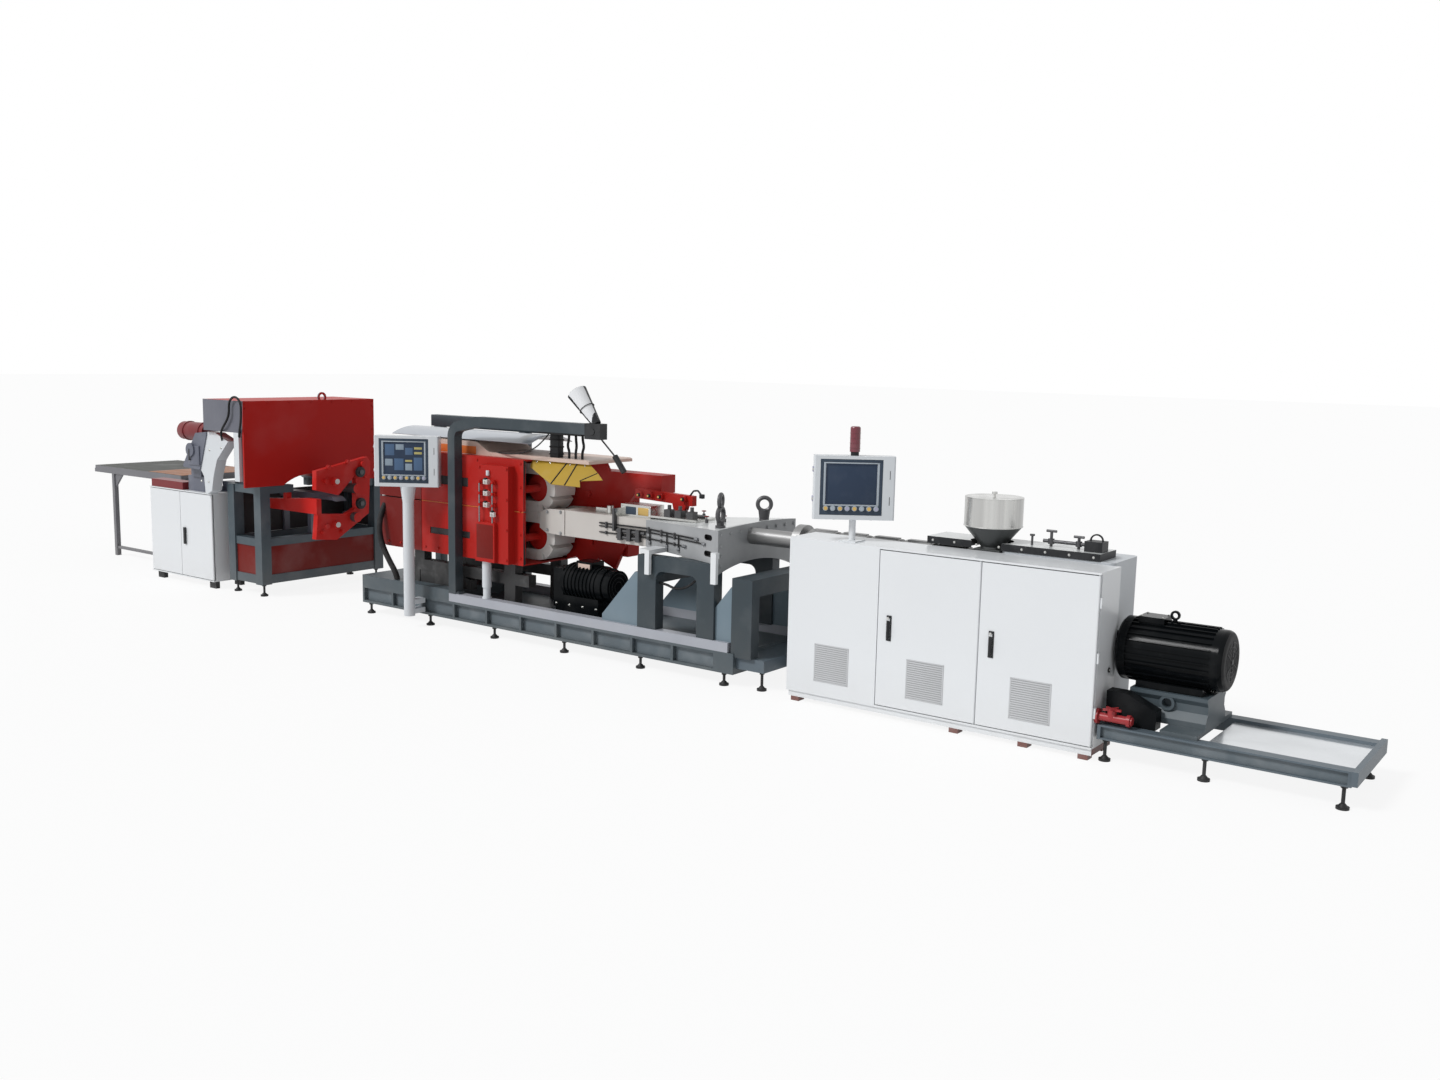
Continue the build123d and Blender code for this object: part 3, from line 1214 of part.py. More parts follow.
# Red blade box on top of the side cabinet
with BuildPart() as blade_box:
    plate_yz([(-640, side_top), (-480, side_top), (-480, side_top + 50), (-510, side_top + 71),
              (-640, side_top + 71)], -4490, -3960)
blade_box.part.label = "blade_box"
export_step(blade_box.part, "parts/blade_box.step")

# Side cabinet with two hinged doors
side_bottom_z = side_bottom
side_mid = (side_left + side_right) / 2
side_carcass = side_front + door_thickness + panel_gap
with BuildPart() as side_cabinet:
    bar(side_left, side_right, side_carcass, side_back, side_bottom, side_top)
    bar(side_left + side_sheet, side_right - side_sheet, side_carcass, side_back - side_sheet,
        side_bottom + side_sheet, side_top - side_sheet, mode=Mode.SUBTRACT)
    bar(side_left, side_right, side_front, side_carcass, side_top - side_sheet, side_top)
    bar(side_left, side_right, side_front, side_carcass, side_bottom, side_bottom + side_sheet)
    for pin_x in (side_left + 12, side_right - 12):
        rod((pin_x, side_front + hinge_radius, side_bottom + side_sheet),
            (pin_x, side_front + hinge_radius, side_bottom + side_sheet + 14), pin_radius)
        rod((pin_x, side_front + hinge_radius, side_top - side_sheet),
            (pin_x, side_front + hinge_radius, side_top - side_sheet - 14), pin_radius)
    for foot_x in (side_left + 30, side_right - 130):
        for foot_y in (side_front + 40, side_back - 80):
            bar(foot_x, foot_x + 100, foot_y, foot_y + 40, 0, side_bottom)
side_cabinet.part.label = "side_cabinet"
export_step(side_cabinet.part, "parts/side_cabinet.step")


def leaf(pin_x, edge_x):
    """Add one leaf of the side cabinet from its pin to its free edge."""
    pin_y = side_front + hinge_radius
    z0 = side_bottom + side_sheet + 6
    z1 = side_top - side_sheet - 6
    bar(min(pin_x, edge_x), max(pin_x, edge_x), side_front, side_front + door_thickness, z0, z1)
    rod((pin_x, pin_y, z0), (pin_x, pin_y, z1), hinge_radius)
    rod((pin_x, pin_y, z0), (pin_x, pin_y, z0 + 12), pin_radius + seat_gap, mode=Mode.SUBTRACT)
    rod((pin_x, pin_y, z1 - 12), (pin_x, pin_y, z1), pin_radius + seat_gap, mode=Mode.SUBTRACT)


with BuildPart() as side_left_door:
    leaf(side_left + 12, side_mid - 3)
side_left_door.part.label = "side_left_door"
export_step(side_left_door.part, "parts/side_left_door.step")

with BuildPart() as side_right_door:
    leaf(side_right - 12, side_mid + 3)
    bar(-3925, -3900, side_front - 14, side_front, 394, 536)
side_right_door.part.label = "side_right_door"
export_step(side_right_door.part, "parts/side_right_door.step")

# Run-out table
with BuildPart() as table_frame:
    top_under = table_top - table_sheet
    for leg_x in (table_left + 340, table_right - 100):
        for leg_y in (table_front, table_back - table_leg):
            bar(leg_x, leg_x + table_leg, leg_y, leg_y + table_leg, 0, top_under)
    for rail_y in (table_front, table_back - table_leg):
        bar(table_left, table_right, rail_y, rail_y + table_leg, top_under - 40, top_under)
        bar(table_left + 340, table_right - 60, rail_y + 8, rail_y + table_leg - 8, 75, 103)
    for leg_x in (table_left, table_left + 340, table_right - 100):
        bar(leg_x, leg_x + table_leg, table_front, table_back, top_under - 40, top_under)
    for leg_x, reach in ((table_left + 340 + table_leg, 140), (table_right - 100, -140)):
        for leg_y in (table_front + 12, table_back - table_leg + 12):
            plate_xz([(leg_x, top_under - 40), (leg_x + reach, top_under - 40), (leg_x, top_under - 180)],
                     leg_y, leg_y + 20)
table_frame.part.label = "table_frame"
export_step(table_frame.part, "parts/table_frame.step")

with BuildPart() as table_board:
    bar(table_left, table_right, table_front, table_back, table_top - table_sheet, table_top)
    fillet(table_board.edges().filter_by(Axis.Z), 18)
table_board.part.label = "table_board"
export_step(table_board.part, "parts/table_board.step")
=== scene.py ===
# %% [markdown]
# # Plastic pipe extrusion line
# The line melts plastic in a screw extruder, pushes it through a die, shapes the pipe
# between two chains of moulds, cuts it and lays it on a table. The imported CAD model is
# loaded first and never moved. This lesson gives it its paints, and adds the small pieces
# that a CAD model leaves out: louvres, handles, screens, valves, bolts and cables.

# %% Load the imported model
import math

import bpy
from mathutils import Matrix, Quaternion, Vector


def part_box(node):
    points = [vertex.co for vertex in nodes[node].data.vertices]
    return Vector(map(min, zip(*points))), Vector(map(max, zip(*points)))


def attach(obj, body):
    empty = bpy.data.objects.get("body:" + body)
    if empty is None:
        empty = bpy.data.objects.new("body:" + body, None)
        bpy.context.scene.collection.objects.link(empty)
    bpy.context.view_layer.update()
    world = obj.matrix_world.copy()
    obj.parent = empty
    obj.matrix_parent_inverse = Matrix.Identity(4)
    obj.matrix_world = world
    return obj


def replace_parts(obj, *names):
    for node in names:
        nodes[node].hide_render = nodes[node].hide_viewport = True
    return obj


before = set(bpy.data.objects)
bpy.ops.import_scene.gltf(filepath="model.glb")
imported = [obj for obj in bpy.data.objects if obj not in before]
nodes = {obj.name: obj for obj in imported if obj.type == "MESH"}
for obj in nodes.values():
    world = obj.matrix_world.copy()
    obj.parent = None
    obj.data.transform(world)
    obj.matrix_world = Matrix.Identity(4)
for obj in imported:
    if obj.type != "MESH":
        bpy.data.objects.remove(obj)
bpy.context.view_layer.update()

# %% [markdown]
# ## Camera
# The picture is taken from the side of the extruder, a little above head height, looking
# along the line. The camera is turned about Z, tilted down, and rolled slightly. A Track To
# constraint could aim it too, but three separate turns are what fitting a camera to a
# photograph gives.

# %% The camera
camera_data = bpy.data.cameras.new("camera")
camera_data.lens = 32.87
camera_data.clip_end = 200
camera = bpy.data.objects.new("camera", camera_data)
bpy.context.scene.collection.objects.link(camera)
turn = Matrix.Rotation(math.radians(36.390), 4, "Z")
tilt = Matrix.Rotation(math.radians(90 - 8.088), 4, "X")
roll = Matrix.Rotation(math.radians(1.201), 4, "Z")
camera_place = Matrix.Translation((7.4116, -7.5364, 2.270))
camera.matrix_world = camera_place @ turn @ tilt @ roll
bpy.context.scene.camera = camera
print("camera at", [round(v, 2) for v in camera.matrix_world.translation])

# %% [markdown]
# ## Floor and light
# The machine is shown cut out on white. Camera and mirror rays see a white world, and a
# floor that is mostly white but keeps the shadow, while the light on the machine stays at a
# plain level. A white backdrop could do the same, but it would bounce its own light onto
# the machine. A soft sun comes from the front left, so the long side of the line is bright
# and the ends that face the motor are a step darker.

# %% A floor that is mostly white
bpy.ops.object.select_all(action="DESELECT")
bpy.ops.mesh.primitive_plane_add(size=160, location=(0, 0, 0))
floor = bpy.context.object
floor.name = "floor"


def seen_white(tree, output, lit, share):
    """Let camera, glossy and transmission rays see a share of plain white in place of the lit shader."""
    path = tree.nodes.new("ShaderNodeLightPath")
    seen = tree.nodes.new("ShaderNodeMath")
    seen.operation = "MAXIMUM"
    mirrored = tree.nodes.new("ShaderNodeMath")
    mirrored.operation = "MAXIMUM"
    tree.links.new(path.outputs["Is Glossy Ray"], mirrored.inputs[0])
    tree.links.new(path.outputs["Is Transmission Ray"], mirrored.inputs[1])
    tree.links.new(path.outputs["Is Camera Ray"], seen.inputs[0])
    tree.links.new(mirrored.outputs["Value"], seen.inputs[1])
    part = tree.nodes.new("ShaderNodeMath")
    part.operation = "MULTIPLY"
    part.inputs[1].default_value = share
    tree.links.new(seen.outputs["Value"], part.inputs[0])
    white = tree.nodes.new("ShaderNodeEmission" if output.bl_idname == "ShaderNodeOutputMaterial"
                           else "ShaderNodeBackground")
    white.inputs["Strength"].default_value = 1.0
    white.inputs["Color"].default_value = (1, 1, 1, 1)
    choice = tree.nodes.new("ShaderNodeMixShader")
    tree.links.new(part.outputs["Value"], choice.inputs["Fac"])
    tree.links.new(lit.outputs[0], choice.inputs[1])
    tree.links.new(white.outputs[0], choice.inputs[2])
    tree.links.new(choice.outputs["Shader"], output.inputs["Surface"])


floor_material = bpy.data.materials.new("pale floor")
floor_material.use_nodes = True
floor_tree = floor_material.node_tree
floor_shader = floor_tree.nodes["Principled BSDF"]
floor_shader.inputs["Base Color"].default_value = (0.90, 0.90, 0.90, 1)
floor_shader.inputs["Roughness"].default_value = 0.95
floor_white = 0.88
seen_white(floor_tree, floor_tree.nodes["Material Output"], floor_shader, floor_white)
floor.data.materials.append(floor_material)

# %% World and sun
world = bpy.data.worlds.new("studio")
bpy.context.scene.world = world
world.use_nodes = True
sky = world.node_tree.nodes["Background"]
sky.inputs["Color"].default_value = (0.98, 0.99, 1.0, 1)
sky.inputs["Strength"].default_value = 0.42
seen_white(world.node_tree, world.node_tree.nodes["World Output"], sky, 1.0)
bpy.context.scene.view_settings.view_transform = "Standard"

bpy.ops.object.light_add(type="SUN", rotation=(math.radians(48), 0, math.radians(-28)))
sun = bpy.context.object
sun.data.energy = 1.95
sun.data.angle = math.radians(14)
print("floor is", floor_white, "white to the camera, sun strength", round(sun.data.energy, 2))

# %% [markdown]
# ## Paint effects as node groups
# Every painted piece shares the same few effects, so each effect is one shader node group
# with named sockets: the uneven film of spray paint, the dust that gathers near the floor,
# and the fine lines of brushed metal. They could be built again in each material, but then
# every change would have to be made many times. All of them read Object coordinates.

# %% A helper that opens a new node group
def open_group(name, colour_inputs, value_inputs, outputs, vector_inputs=()):
    """Make a shader node group and return its tree, its input node and its output node."""
    tree = bpy.data.node_groups.new(name, "ShaderNodeTree")
    for socket in vector_inputs:
        tree.interface.new_socket(name=socket, in_out="INPUT", socket_type="NodeSocketVector")
    for socket in colour_inputs:
        tree.interface.new_socket(name=socket, in_out="INPUT", socket_type="NodeSocketColor")
    for socket, value in value_inputs.items():
        made = tree.interface.new_socket(name=socket, in_out="INPUT", socket_type="NodeSocketFloat")
        made.default_value = value
    for socket, kind in outputs.items():
        tree.interface.new_socket(name=socket, in_out="OUTPUT", socket_type=kind)
    return tree, tree.nodes.new("NodeGroupInput"), tree.nodes.new("NodeGroupOutput")


# %% Helpers for the nodes inside a group
def math_node(tree, operation, first, second):
    """Add a Math node; each operand is a socket or a number."""
    made = tree.nodes.new("ShaderNodeMath")
    made.operation = operation
    for slot, operand in ((0, first), (1, second)):
        if isinstance(operand, (int, float)):
            made.inputs[slot].default_value = operand
        else:
            tree.links.new(operand, made.inputs[slot])
    return made.outputs["Value"]


def noise_node(tree, vector, scale, detail):
    """Add a Noise Texture; the scale is a socket or a number."""
    made = tree.nodes.new("ShaderNodeTexNoise")
    made.inputs["Detail"].default_value = detail
    tree.links.new(vector, made.inputs["Vector"])
    if isinstance(scale, (int, float)):
        made.inputs["Scale"].default_value = scale
    else:
        tree.links.new(scale, made.inputs["Scale"])
    return made.outputs["Fac"]


def mixed_colour(tree, factor, first, second):
    """Mix two colours; each is a socket or an RGB tuple."""
    made = tree.nodes.new("ShaderNodeMix")
    made.data_type = "RGBA"
    tree.links.new(factor, made.inputs["Factor"])
    for slot, operand in (("A", first), ("B", second)):
        socket = [s for s in made.inputs if s.name == slot and s.type == "RGBA"][0]
        if isinstance(operand, tuple):
            socket.default_value = (*operand, 1)
        else:
            tree.links.new(operand, socket)
    return [s for s in made.outputs if s.type == "RGBA"][0]


# %% [markdown]
# ## The film of spray paint
# Sprayed paint is never quite even: broad patches are a little lighter or darker, and the
# skin has a fine grain. One broad and one fine noise give both. An image could too, but a
# noise has no seams and needs no unwrapping.

# %% The film of spray paint
COLOUR, VALUE = "NodeSocketColor", "NodeSocketFloat"
paint_film, film_in, film_out = open_group(
    "paint film", ["Color"], {"Spread": 0.1, "Patch Scale": 1.5, "Roughness": 0.4},
    {"Color": COLOUR, "Roughness": VALUE, "Height": VALUE})
film_place = paint_film.nodes.new("ShaderNodeTexCoord").outputs["Object"]
film_patch = noise_node(paint_film, film_place, film_in.outputs["Patch Scale"], 5)
film_fine = noise_node(paint_film, film_place, 160, 2)
film_swing = math_node(paint_film, "MULTIPLY", math_node(paint_film, "SUBTRACT", film_patch, 0.5),
                       film_in.outputs["Spread"])
film_darker = math_node(paint_film, "MAXIMUM", math_node(paint_film, "MULTIPLY", film_swing, -2.0), 0.0)
film_lighter = math_node(paint_film, "MAXIMUM", math_node(paint_film, "MULTIPLY", film_swing, 1.2), 0.0)
film_low = mixed_colour(paint_film, film_darker, film_in.outputs["Color"], (0.03, 0.03, 0.03))
film_high = mixed_colour(paint_film, film_lighter, film_low, (0.9, 0.9, 0.9))
paint_film.links.new(film_high, film_out.inputs["Color"])
paint_film.links.new(math_node(paint_film, "ADD", film_in.outputs["Roughness"], film_swing),
                     film_out.inputs["Roughness"])
paint_film.links.new(film_fine, film_out.inputs["Height"])
print("paint film has", len(paint_film.nodes), "nodes")

# %% [markdown]
# ## Dust near the floor
# Dust and splashes gather on the lowest half metre of the machines. The mask fades with the
# height and is broken up by a noise. It could be painted by hand on each piece, but one
# group does it alike for all of them.

# %% Dust near the floor's level
floor_dust, dust_in, dust_out = open_group(
    "floor dust", ["Color"], {"Amount": 0.3, "Top": 0.5}, {"Color": COLOUR})
dust_place = floor_dust.nodes.new("ShaderNodeTexCoord").outputs["Object"]
dust_axes = floor_dust.nodes.new("ShaderNodeSeparateXYZ")
floor_dust.links.new(dust_place, dust_axes.inputs["Vector"])
dust_level = math_node(floor_dust, "DIVIDE", dust_axes.outputs["Z"], dust_in.outputs["Top"])
dust_fade = math_node(floor_dust, "MAXIMUM", math_node(floor_dust, "SUBTRACT", 1.0, dust_level), 0.0)
dust_cloud = noise_node(floor_dust, dust_place, 7, 6)
dust_mask = math_node(floor_dust, "MULTIPLY", math_node(floor_dust, "MULTIPLY", dust_fade, dust_cloud),
                      dust_in.outputs["Amount"])
floor_dust.links.new(mixed_colour(floor_dust, dust_mask, dust_in.outputs["Color"], (0.42, 0.38, 0.33)),
                     dust_out.inputs["Color"])
print("floor dust has", len(floor_dust.nodes), "nodes")

# %% [markdown]
# ## Brushed and machined metal
# Turned, ground and rolled metal shows fine lines in one direction. A noise that a Mapping
# node stretches draws them, and the Grain input says how fine they are along each axis. A
# Wave Texture draws lines as well, but they look too regular for sheet and castings.

# %% Brushed and machined metal
brushed_metal, brush_in, brush_out = open_group(
    "brushed metal", ["Color"], {"Contrast": 0.25, "Roughness": 0.35},
    {"Color": COLOUR, "Roughness": VALUE, "Height": VALUE}, ["Grain"])
brush_place = brushed_metal.nodes.new("ShaderNodeTexCoord").outputs["Object"]
brush_stretch = brushed_metal.nodes.new("ShaderNodeMapping")
brushed_metal.links.new(brush_in.outputs["Grain"], brush_stretch.inputs["Scale"])
brushed_metal.links.new(brush_place, brush_stretch.inputs["Vector"])
brush_lines = noise_node(brushed_metal, brush_stretch.outputs["Vector"], 1.0, 3)
brush_shade = math_node(brushed_metal, "MULTIPLY", brush_lines, brush_in.outputs["Contrast"])
brush_colour = mixed_colour(brushed_metal, brush_shade, brush_in.outputs["Color"], (0.12, 0.12, 0.12))
brushed_metal.links.new(brush_colour, brush_out.inputs["Color"])
brush_centred = math_node(brushed_metal, "SUBTRACT", brush_lines, 0.5)
brush_swing = math_node(brushed_metal, "MULTIPLY", brush_centred, 0.3)
brushed_metal.links.new(math_node(brushed_metal, "ADD", brush_in.outputs["Roughness"], brush_swing),
                        brush_out.inputs["Roughness"])
brushed_metal.links.new(brush_lines, brush_out.inputs["Height"])
print("node groups", [group.name for group in bpy.data.node_groups])

# %% [markdown]
# ## Finishes
# A painted finish puts the paint film first and the dust over it. A metal finish uses the
# brushed group. Both feed a Bump node with the fine height, and what is the same all over
# the piece, such as metalness or coat, is set on the shader itself. One shader with every
# effect could serve both, but two short ones are easier to read.

# %% The maker of painted finishes
def paint(name, colour, roughness=0.42, spread=0.12, patch=1.5, dust=0.35, dust_top=0.6, coat=0.0, skin=0.04,
          gloss=0.4):
    """Make a painted finish from the paint film and the dust."""
    material = bpy.data.materials.new(name)
    material.use_nodes = True
    tree = material.node_tree
    shader = tree.nodes["Principled BSDF"]
    shader.inputs["Coat Weight"].default_value = coat
    shader.inputs["Specular IOR Level"].default_value = gloss
    film = tree.nodes.new("ShaderNodeGroup")
    film.node_tree = paint_film
    film.inputs["Color"].default_value = (*colour, 1)
    film.inputs["Spread"].default_value = spread
    film.inputs["Patch Scale"].default_value = patch
    film.inputs["Roughness"].default_value = roughness
    dusty = tree.nodes.new("ShaderNodeGroup")
    dusty.node_tree = floor_dust
    dusty.inputs["Amount"].default_value = dust
    dusty.inputs["Top"].default_value = dust_top
    bump = tree.nodes.new("ShaderNodeBump")
    bump.inputs["Strength"].default_value = skin
    bump.inputs["Distance"].default_value = 0.002
    tree.links.new(film.outputs["Color"], dusty.inputs["Color"])
    tree.links.new(dusty.outputs["Color"], shader.inputs["Base Color"])
    tree.links.new(film.outputs["Roughness"], shader.inputs["Roughness"])
    tree.links.new(film.outputs["Height"], bump.inputs["Height"])
    tree.links.new(bump.outputs["Normal"], shader.inputs["Normal"])
    return material


# %% The maker of metal finishes
def metal(name, colour, roughness=0.32, contrast=0.3, metalness=1.0, grain=(6, 90, 90)):
    """Make a brushed or machined metal finish; the grain is long where its number is small."""
    material = bpy.data.materials.new(name)
    material.use_nodes = True
    tree = material.node_tree
    shader = tree.nodes["Principled BSDF"]
    shader.inputs["Metallic"].default_value = metalness
    brushed = tree.nodes.new("ShaderNodeGroup")
    brushed.node_tree = brushed_metal
    brushed.inputs["Color"].default_value = (*colour, 1)
    brushed.inputs["Contrast"].default_value = contrast
    brushed.inputs["Roughness"].default_value = roughness
    brushed.inputs["Grain"].default_value = grain
    bump = tree.nodes.new("ShaderNodeBump")
    bump.inputs["Strength"].default_value = 0.05
    bump.inputs["Distance"].default_value = 0.001
    tree.links.new(brushed.outputs["Color"], shader.inputs["Base Color"])
    tree.links.new(brushed.outputs["Roughness"], shader.inputs["Roughness"])
    tree.links.new(brushed.outputs["Height"], bump.inputs["Height"])
    tree.links.new(bump.outputs["Normal"], shader.inputs["Normal"])
    return material


# %% [markdown]
# ## The finishes of this line
# The machines of the line are painted in two whites, several blue-greys, greys and reds,
# and have parts of bare metal. A colour is given in linear values, then come its roughness,
# how uneven it is, how large its patches are, and how much dust it has up to which height.
# Paints that nearly match could share one material, but apart they can be changed apart.

# %% The finishes of this line
cabinet_white = paint("cabinet white", (0.76, 0.78, 0.80), 0.35, 0.04, 1.0, 0.2, 0.35, coat=0.2)
panel_white = paint("panel white", (0.66, 0.69, 0.72), 0.38, 0.05, 2.0, 0.1, 0.3, coat=0.2)
frame_blue = paint("dark blue-grey frame", (0.055, 0.078, 0.094), 0.45, 0.22, 2.5, 0.22, 0.5)
rail_blue = paint("blue-grey of the motor rails", (0.080, 0.112, 0.140), 0.45, 0.18, 2.5, 0.22, 0.4)
stand_blue = paint("deeper blue-grey of the stand", (0.030, 0.044, 0.054), 0.42, 0.2, 2.5, 0.15, 0.6)
web_blue = paint("blue-grey in the shade of a channel", (0.100, 0.130, 0.152), 0.5, 0.35, 5.0, 0.2, 0.3)
# Painted light: a lighter copy of the stand's blue-grey, for the braces and the faces that look up towards
# the sun.
lit_brace_blue = paint("blue-grey brace with painted light", (0.165, 0.225, 0.270), 0.45, 0.15, 2.5, 0.2, 0.5)
strip_grey = paint("lilac-grey strip", (0.38, 0.40, 0.45), 0.4, 0.15, 3.0, 0.3, 0.5)
die_grey = paint("die grey", (0.34, 0.35, 0.36), 0.40, 0.30, 5.0, 0.0)
# Painted light: a paler finish for upward faces, where the light falls.
lit_top_pale = paint("pale top with painted light", (0.62, 0.64, 0.64), 0.32, 0.18, 4.0, 0.0, coat=0.3)
beam_white = paint("beam warm white", (0.57, 0.54, 0.51), 0.42, 0.14, 4.0, 0.0)
machine_red = paint("machine red", (0.42, 0.016, 0.012), 0.42, 0.20, 2.0, 0.05, 0.8, gloss=0.12)
# Painted shade: a deeper copy of the machine red for the housings' left end.
painted_shade_red = paint("painted shade red of the left end", (0.16, 0.012, 0.010), 0.45, 0.25, 2.0, 0.05, gloss=0.12)
hood_red = paint("hood red", (0.43, 0.014, 0.011), 0.42, 0.14, 1.2, 0.02, gloss=0.12)
bright_red = paint("bright red", (0.56, 0.020, 0.016), 0.40, 0.2, 4.0, 0.05, gloss=0.15)
dark_red = paint("dark red", (0.17, 0.013, 0.010), 0.5, 0.3, 2.0, 0.15, 0.4, gloss=0.12)
orange_edge = paint("orange edge", (0.66, 0.16, 0.035), 0.4, 0.1, 4.0, 0.0, gloss=0.2)
guard_yellow = paint("mustard guard", (0.44, 0.28, 0.022), 0.4, 0.25, 5.0, 0.0, gloss=0.25)
cover_cream = paint("cover cream", (0.64, 0.49, 0.42), 0.42, 0.12, 2.5, 0.0)
canopy_grey = paint("canopy grey", (0.42, 0.45, 0.50), 0.3, 0.12, 3.0, 0.0, coat=0.3)
hood_grey = paint("hood side grey", (0.14, 0.145, 0.175), 0.42, 0.2, 2.0, 0.0, gloss=0.25)
saw_grey = paint("saw guard grey", (0.125, 0.135, 0.175), 0.36, 0.25, 4.0, 0.0)
gear_grey = paint("gearbox grey", (0.56, 0.59, 0.62), 0.42, 0.08, 2.0, 0.2, 0.5)
motor_black = paint("motor black", (0.004, 0.005, 0.006), 0.16, 0.04, 6.0, 0.01, 0.7, gloss=0.07)
guard_black = paint("guard black", (0.006, 0.007, 0.008), 0.30, 0.05, 5.0, 0.01, 0.5, gloss=0.04)
inlet_red = paint("inlet red", (0.34, 0.024, 0.030), 0.35, 0.3, 9.0, 0.1, 0.5, gloss=0.3)
saw_maroon = paint("saw maroon", (0.20, 0.026, 0.030), 0.35, 0.25, 5.0, 0.0, gloss=0.2)
lamp_white = paint("lamp white", (0.84, 0.85, 0.87), 0.3, 0.05, 6.0, 0.0, coat=0.3)
black_paint = paint("black paint", (0.016, 0.017, 0.019), 0.45, 0.12, 5.0, 0.05, 0.5, gloss=0.25)
grease_black = paint("greasy black iron", (0.020, 0.020, 0.021), 0.45, 0.3, 6.0, 0.03, 0.6, skin=0.3)
skid_red = paint("skid brown-red", (0.15, 0.035, 0.030), 0.5, 0.3, 5.0, 0.3, 0.2)
rubber_black = paint("hose rubber", (0.012, 0.012, 0.013), 0.62, 0.1, 12.0, 0.1, gloss=0.25)
table_dark = paint("table board", (0.070, 0.074, 0.068), 0.6, 0.4, 4.0, 0.0, gloss=0.15)
table_wood = paint("table edge wood", (0.30, 0.115, 0.045), 0.5, 0.4, 9.0, 0.0)
leg_grey = paint("leg grey", (0.170, 0.170, 0.185), 0.45, 0.2, 4.0, 0.2, 0.4)
louvre_grey = paint("louvre grey", (0.54, 0.55, 0.565), 0.45, 0.08, 3.0, 0.1, 0.4)
louvre_shade = paint("shade between louvres", (0.33, 0.335, 0.345), 0.6, 0.08, 3.0, 0.0)
# Dark for real gaps and seams, and painted shade in the slots and inside the cutter's frame.
gap_and_shade_dark = paint("dark gap and painted shade", (0.030, 0.028, 0.030), 0.7, 0.1, 6.0, 0.0)
beacon_maroon = paint("beacon maroon", (0.17, 0.018, 0.035), 0.2, 0.1, 10.0, 0.0, coat=0.5)
lilac_lug = paint("lilac lug", (0.40, 0.40, 0.52), 0.4, 0.1, 8.0, 0.0)
bezel_navy = paint("bezel navy", (0.043, 0.062, 0.090), 0.4, 0.05, 6.0, 0.0, gloss=0.2)
bezel_pale = paint("bezel pale", (0.40, 0.45, 0.50), 0.35, 0.08, 6.0, 0.0)
valve_white = paint("valve white", (0.66, 0.64, 0.62), 0.35, 0.1, 9.0, 0.0)
brass_yellow = metal("brass", (0.62, 0.42, 0.14), 0.3, 0.2)
bright_steel = metal("bright steel", (0.62, 0.62, 0.60), 0.26, 0.25)
tap_steel = metal("tap steel", (0.30, 0.31, 0.33), 0.28, 0.5)
dark_steel = metal("dark steel", (0.075, 0.075, 0.08), 0.42, 0.3, 0.5)
# The hopper steel's lines are strong and run long up the cylinder: brushed grain, and painted reflection
# streaks.
hopper_steel_with_painted_streaks = metal("hopper steel with painted reflection streaks", (0.80, 0.80, 0.78), 0.28, 0.75, 0.75, (13, 13, 0.25))
cone_steel = metal("shaded cone steel", (0.085, 0.09, 0.09), 0.35, 0.2, 0.6)
# The tray sheet's broad light and dark patches are painted reflection of its mirror-like surface.
tray_steel_with_painted_reflection = metal("tray sheet with painted reflection", (0.82, 0.85, 0.88), 0.20, 0.42, 0.7, (1.6, 2.6, 1.0))
mould_metal = metal("mould aluminium", (0.76, 0.74, 0.71), 0.40, 0.15, 0.0)
barrel_steel = metal("barrel steel", (0.30, 0.30, 0.30), 0.40, 0.3, 0.7)
print("finishes", len(bpy.data.materials))

# %% [markdown]
# ## Painting the CAD nodes
# Each node keeps its shape and gets one finish. The materials could be assigned one by one,
# but a table of finishes shows at a glance what is painted alike.

# %% One finish for each node
finish_of_node = {
    cabinet_white: "cabinet_shell cabinet_lid left_panel middle_door right_door panel_pole side_cabinet "
                   "side_left_door side_right_door bed_brackets",
    panel_white: "operator_panel corrugator_panel panel_post saw_arm",
    frame_blue: "motor_pedestal corrugator_base cutter_frame",
    saw_grey: "saw_unit pipe_trough",
    stand_blue: "die_stand gantry",
    rail_blue: "extruder_base",
    guard_black: "coupling_guard",
    saw_maroon: "saw_motor blade_box",
    gear_grey: "gearbox",
    dark_steel: "lifting_eyes water_manifold",
    strip_grey: "base_rails",
    canopy_grey: "canopy",
    tray_steel_with_painted_reflection: "rail_tray",
    beam_white: "die_bed",
    machine_red: "lower_housing upper_housing rear_wall valve_box air_manifold",
    inlet_red: "water_inlet",
    hood_red: "cutter_hood",
    bright_red: "pipe_clamp",
    dark_red: "frame_panels",
    skid_red: "cabinet_skid",
    beacon_maroon: "beacon",
    guard_yellow: "mould_guard",
    cover_cream: "top_cover",
    hopper_steel_with_painted_streaks: "hopper hopper_lid",
    bright_steel: "die_equipment",
    barrel_steel: "barrel",
    mould_metal: "upper_mould_chain lower_mould_chain",
    motor_black: "drive_motor chain_drive",
    black_paint: "feed_deck work_lamp levelling_feet",
    grease_black: "carriage",
    leg_grey: "table_frame",
    rubber_black: "hoses",
    table_dark: "table_board",
}
for finish, names in finish_of_node.items():
    for name in names.split():
        nodes[name].data.materials.clear()
        nodes[name].data.materials.append(finish)
painted = sum(len(names.split()) for names in finish_of_node.values())
print("painted", painted, "of", len(nodes))


# %% [markdown]
# ## Nodes with two finishes
# Some nodes carry two finishes, such as the hopper with its shaded cone or the cutter hood
# with its red face and grey side. Those faces could be cut off into objects of their own,
# but a second material slot keeps the node whole. The faces are picked in code, by where
# their centre lies and where they look.

# %% A second finish on picked faces
def second_finish(name, finish, picks):
    """Give the faces for which picks(centre, normal) holds another finish; centre is in millimetres."""
    mesh = nodes[name].data
    mesh.materials.append(finish)
    slot = len(mesh.materials) - 1
    count = 0
    for face in mesh.polygons:
        if picks(face.center * 1000, face.normal):
            face.material_index = slot
            count += 1
    print(name, finish.name, count, "faces")


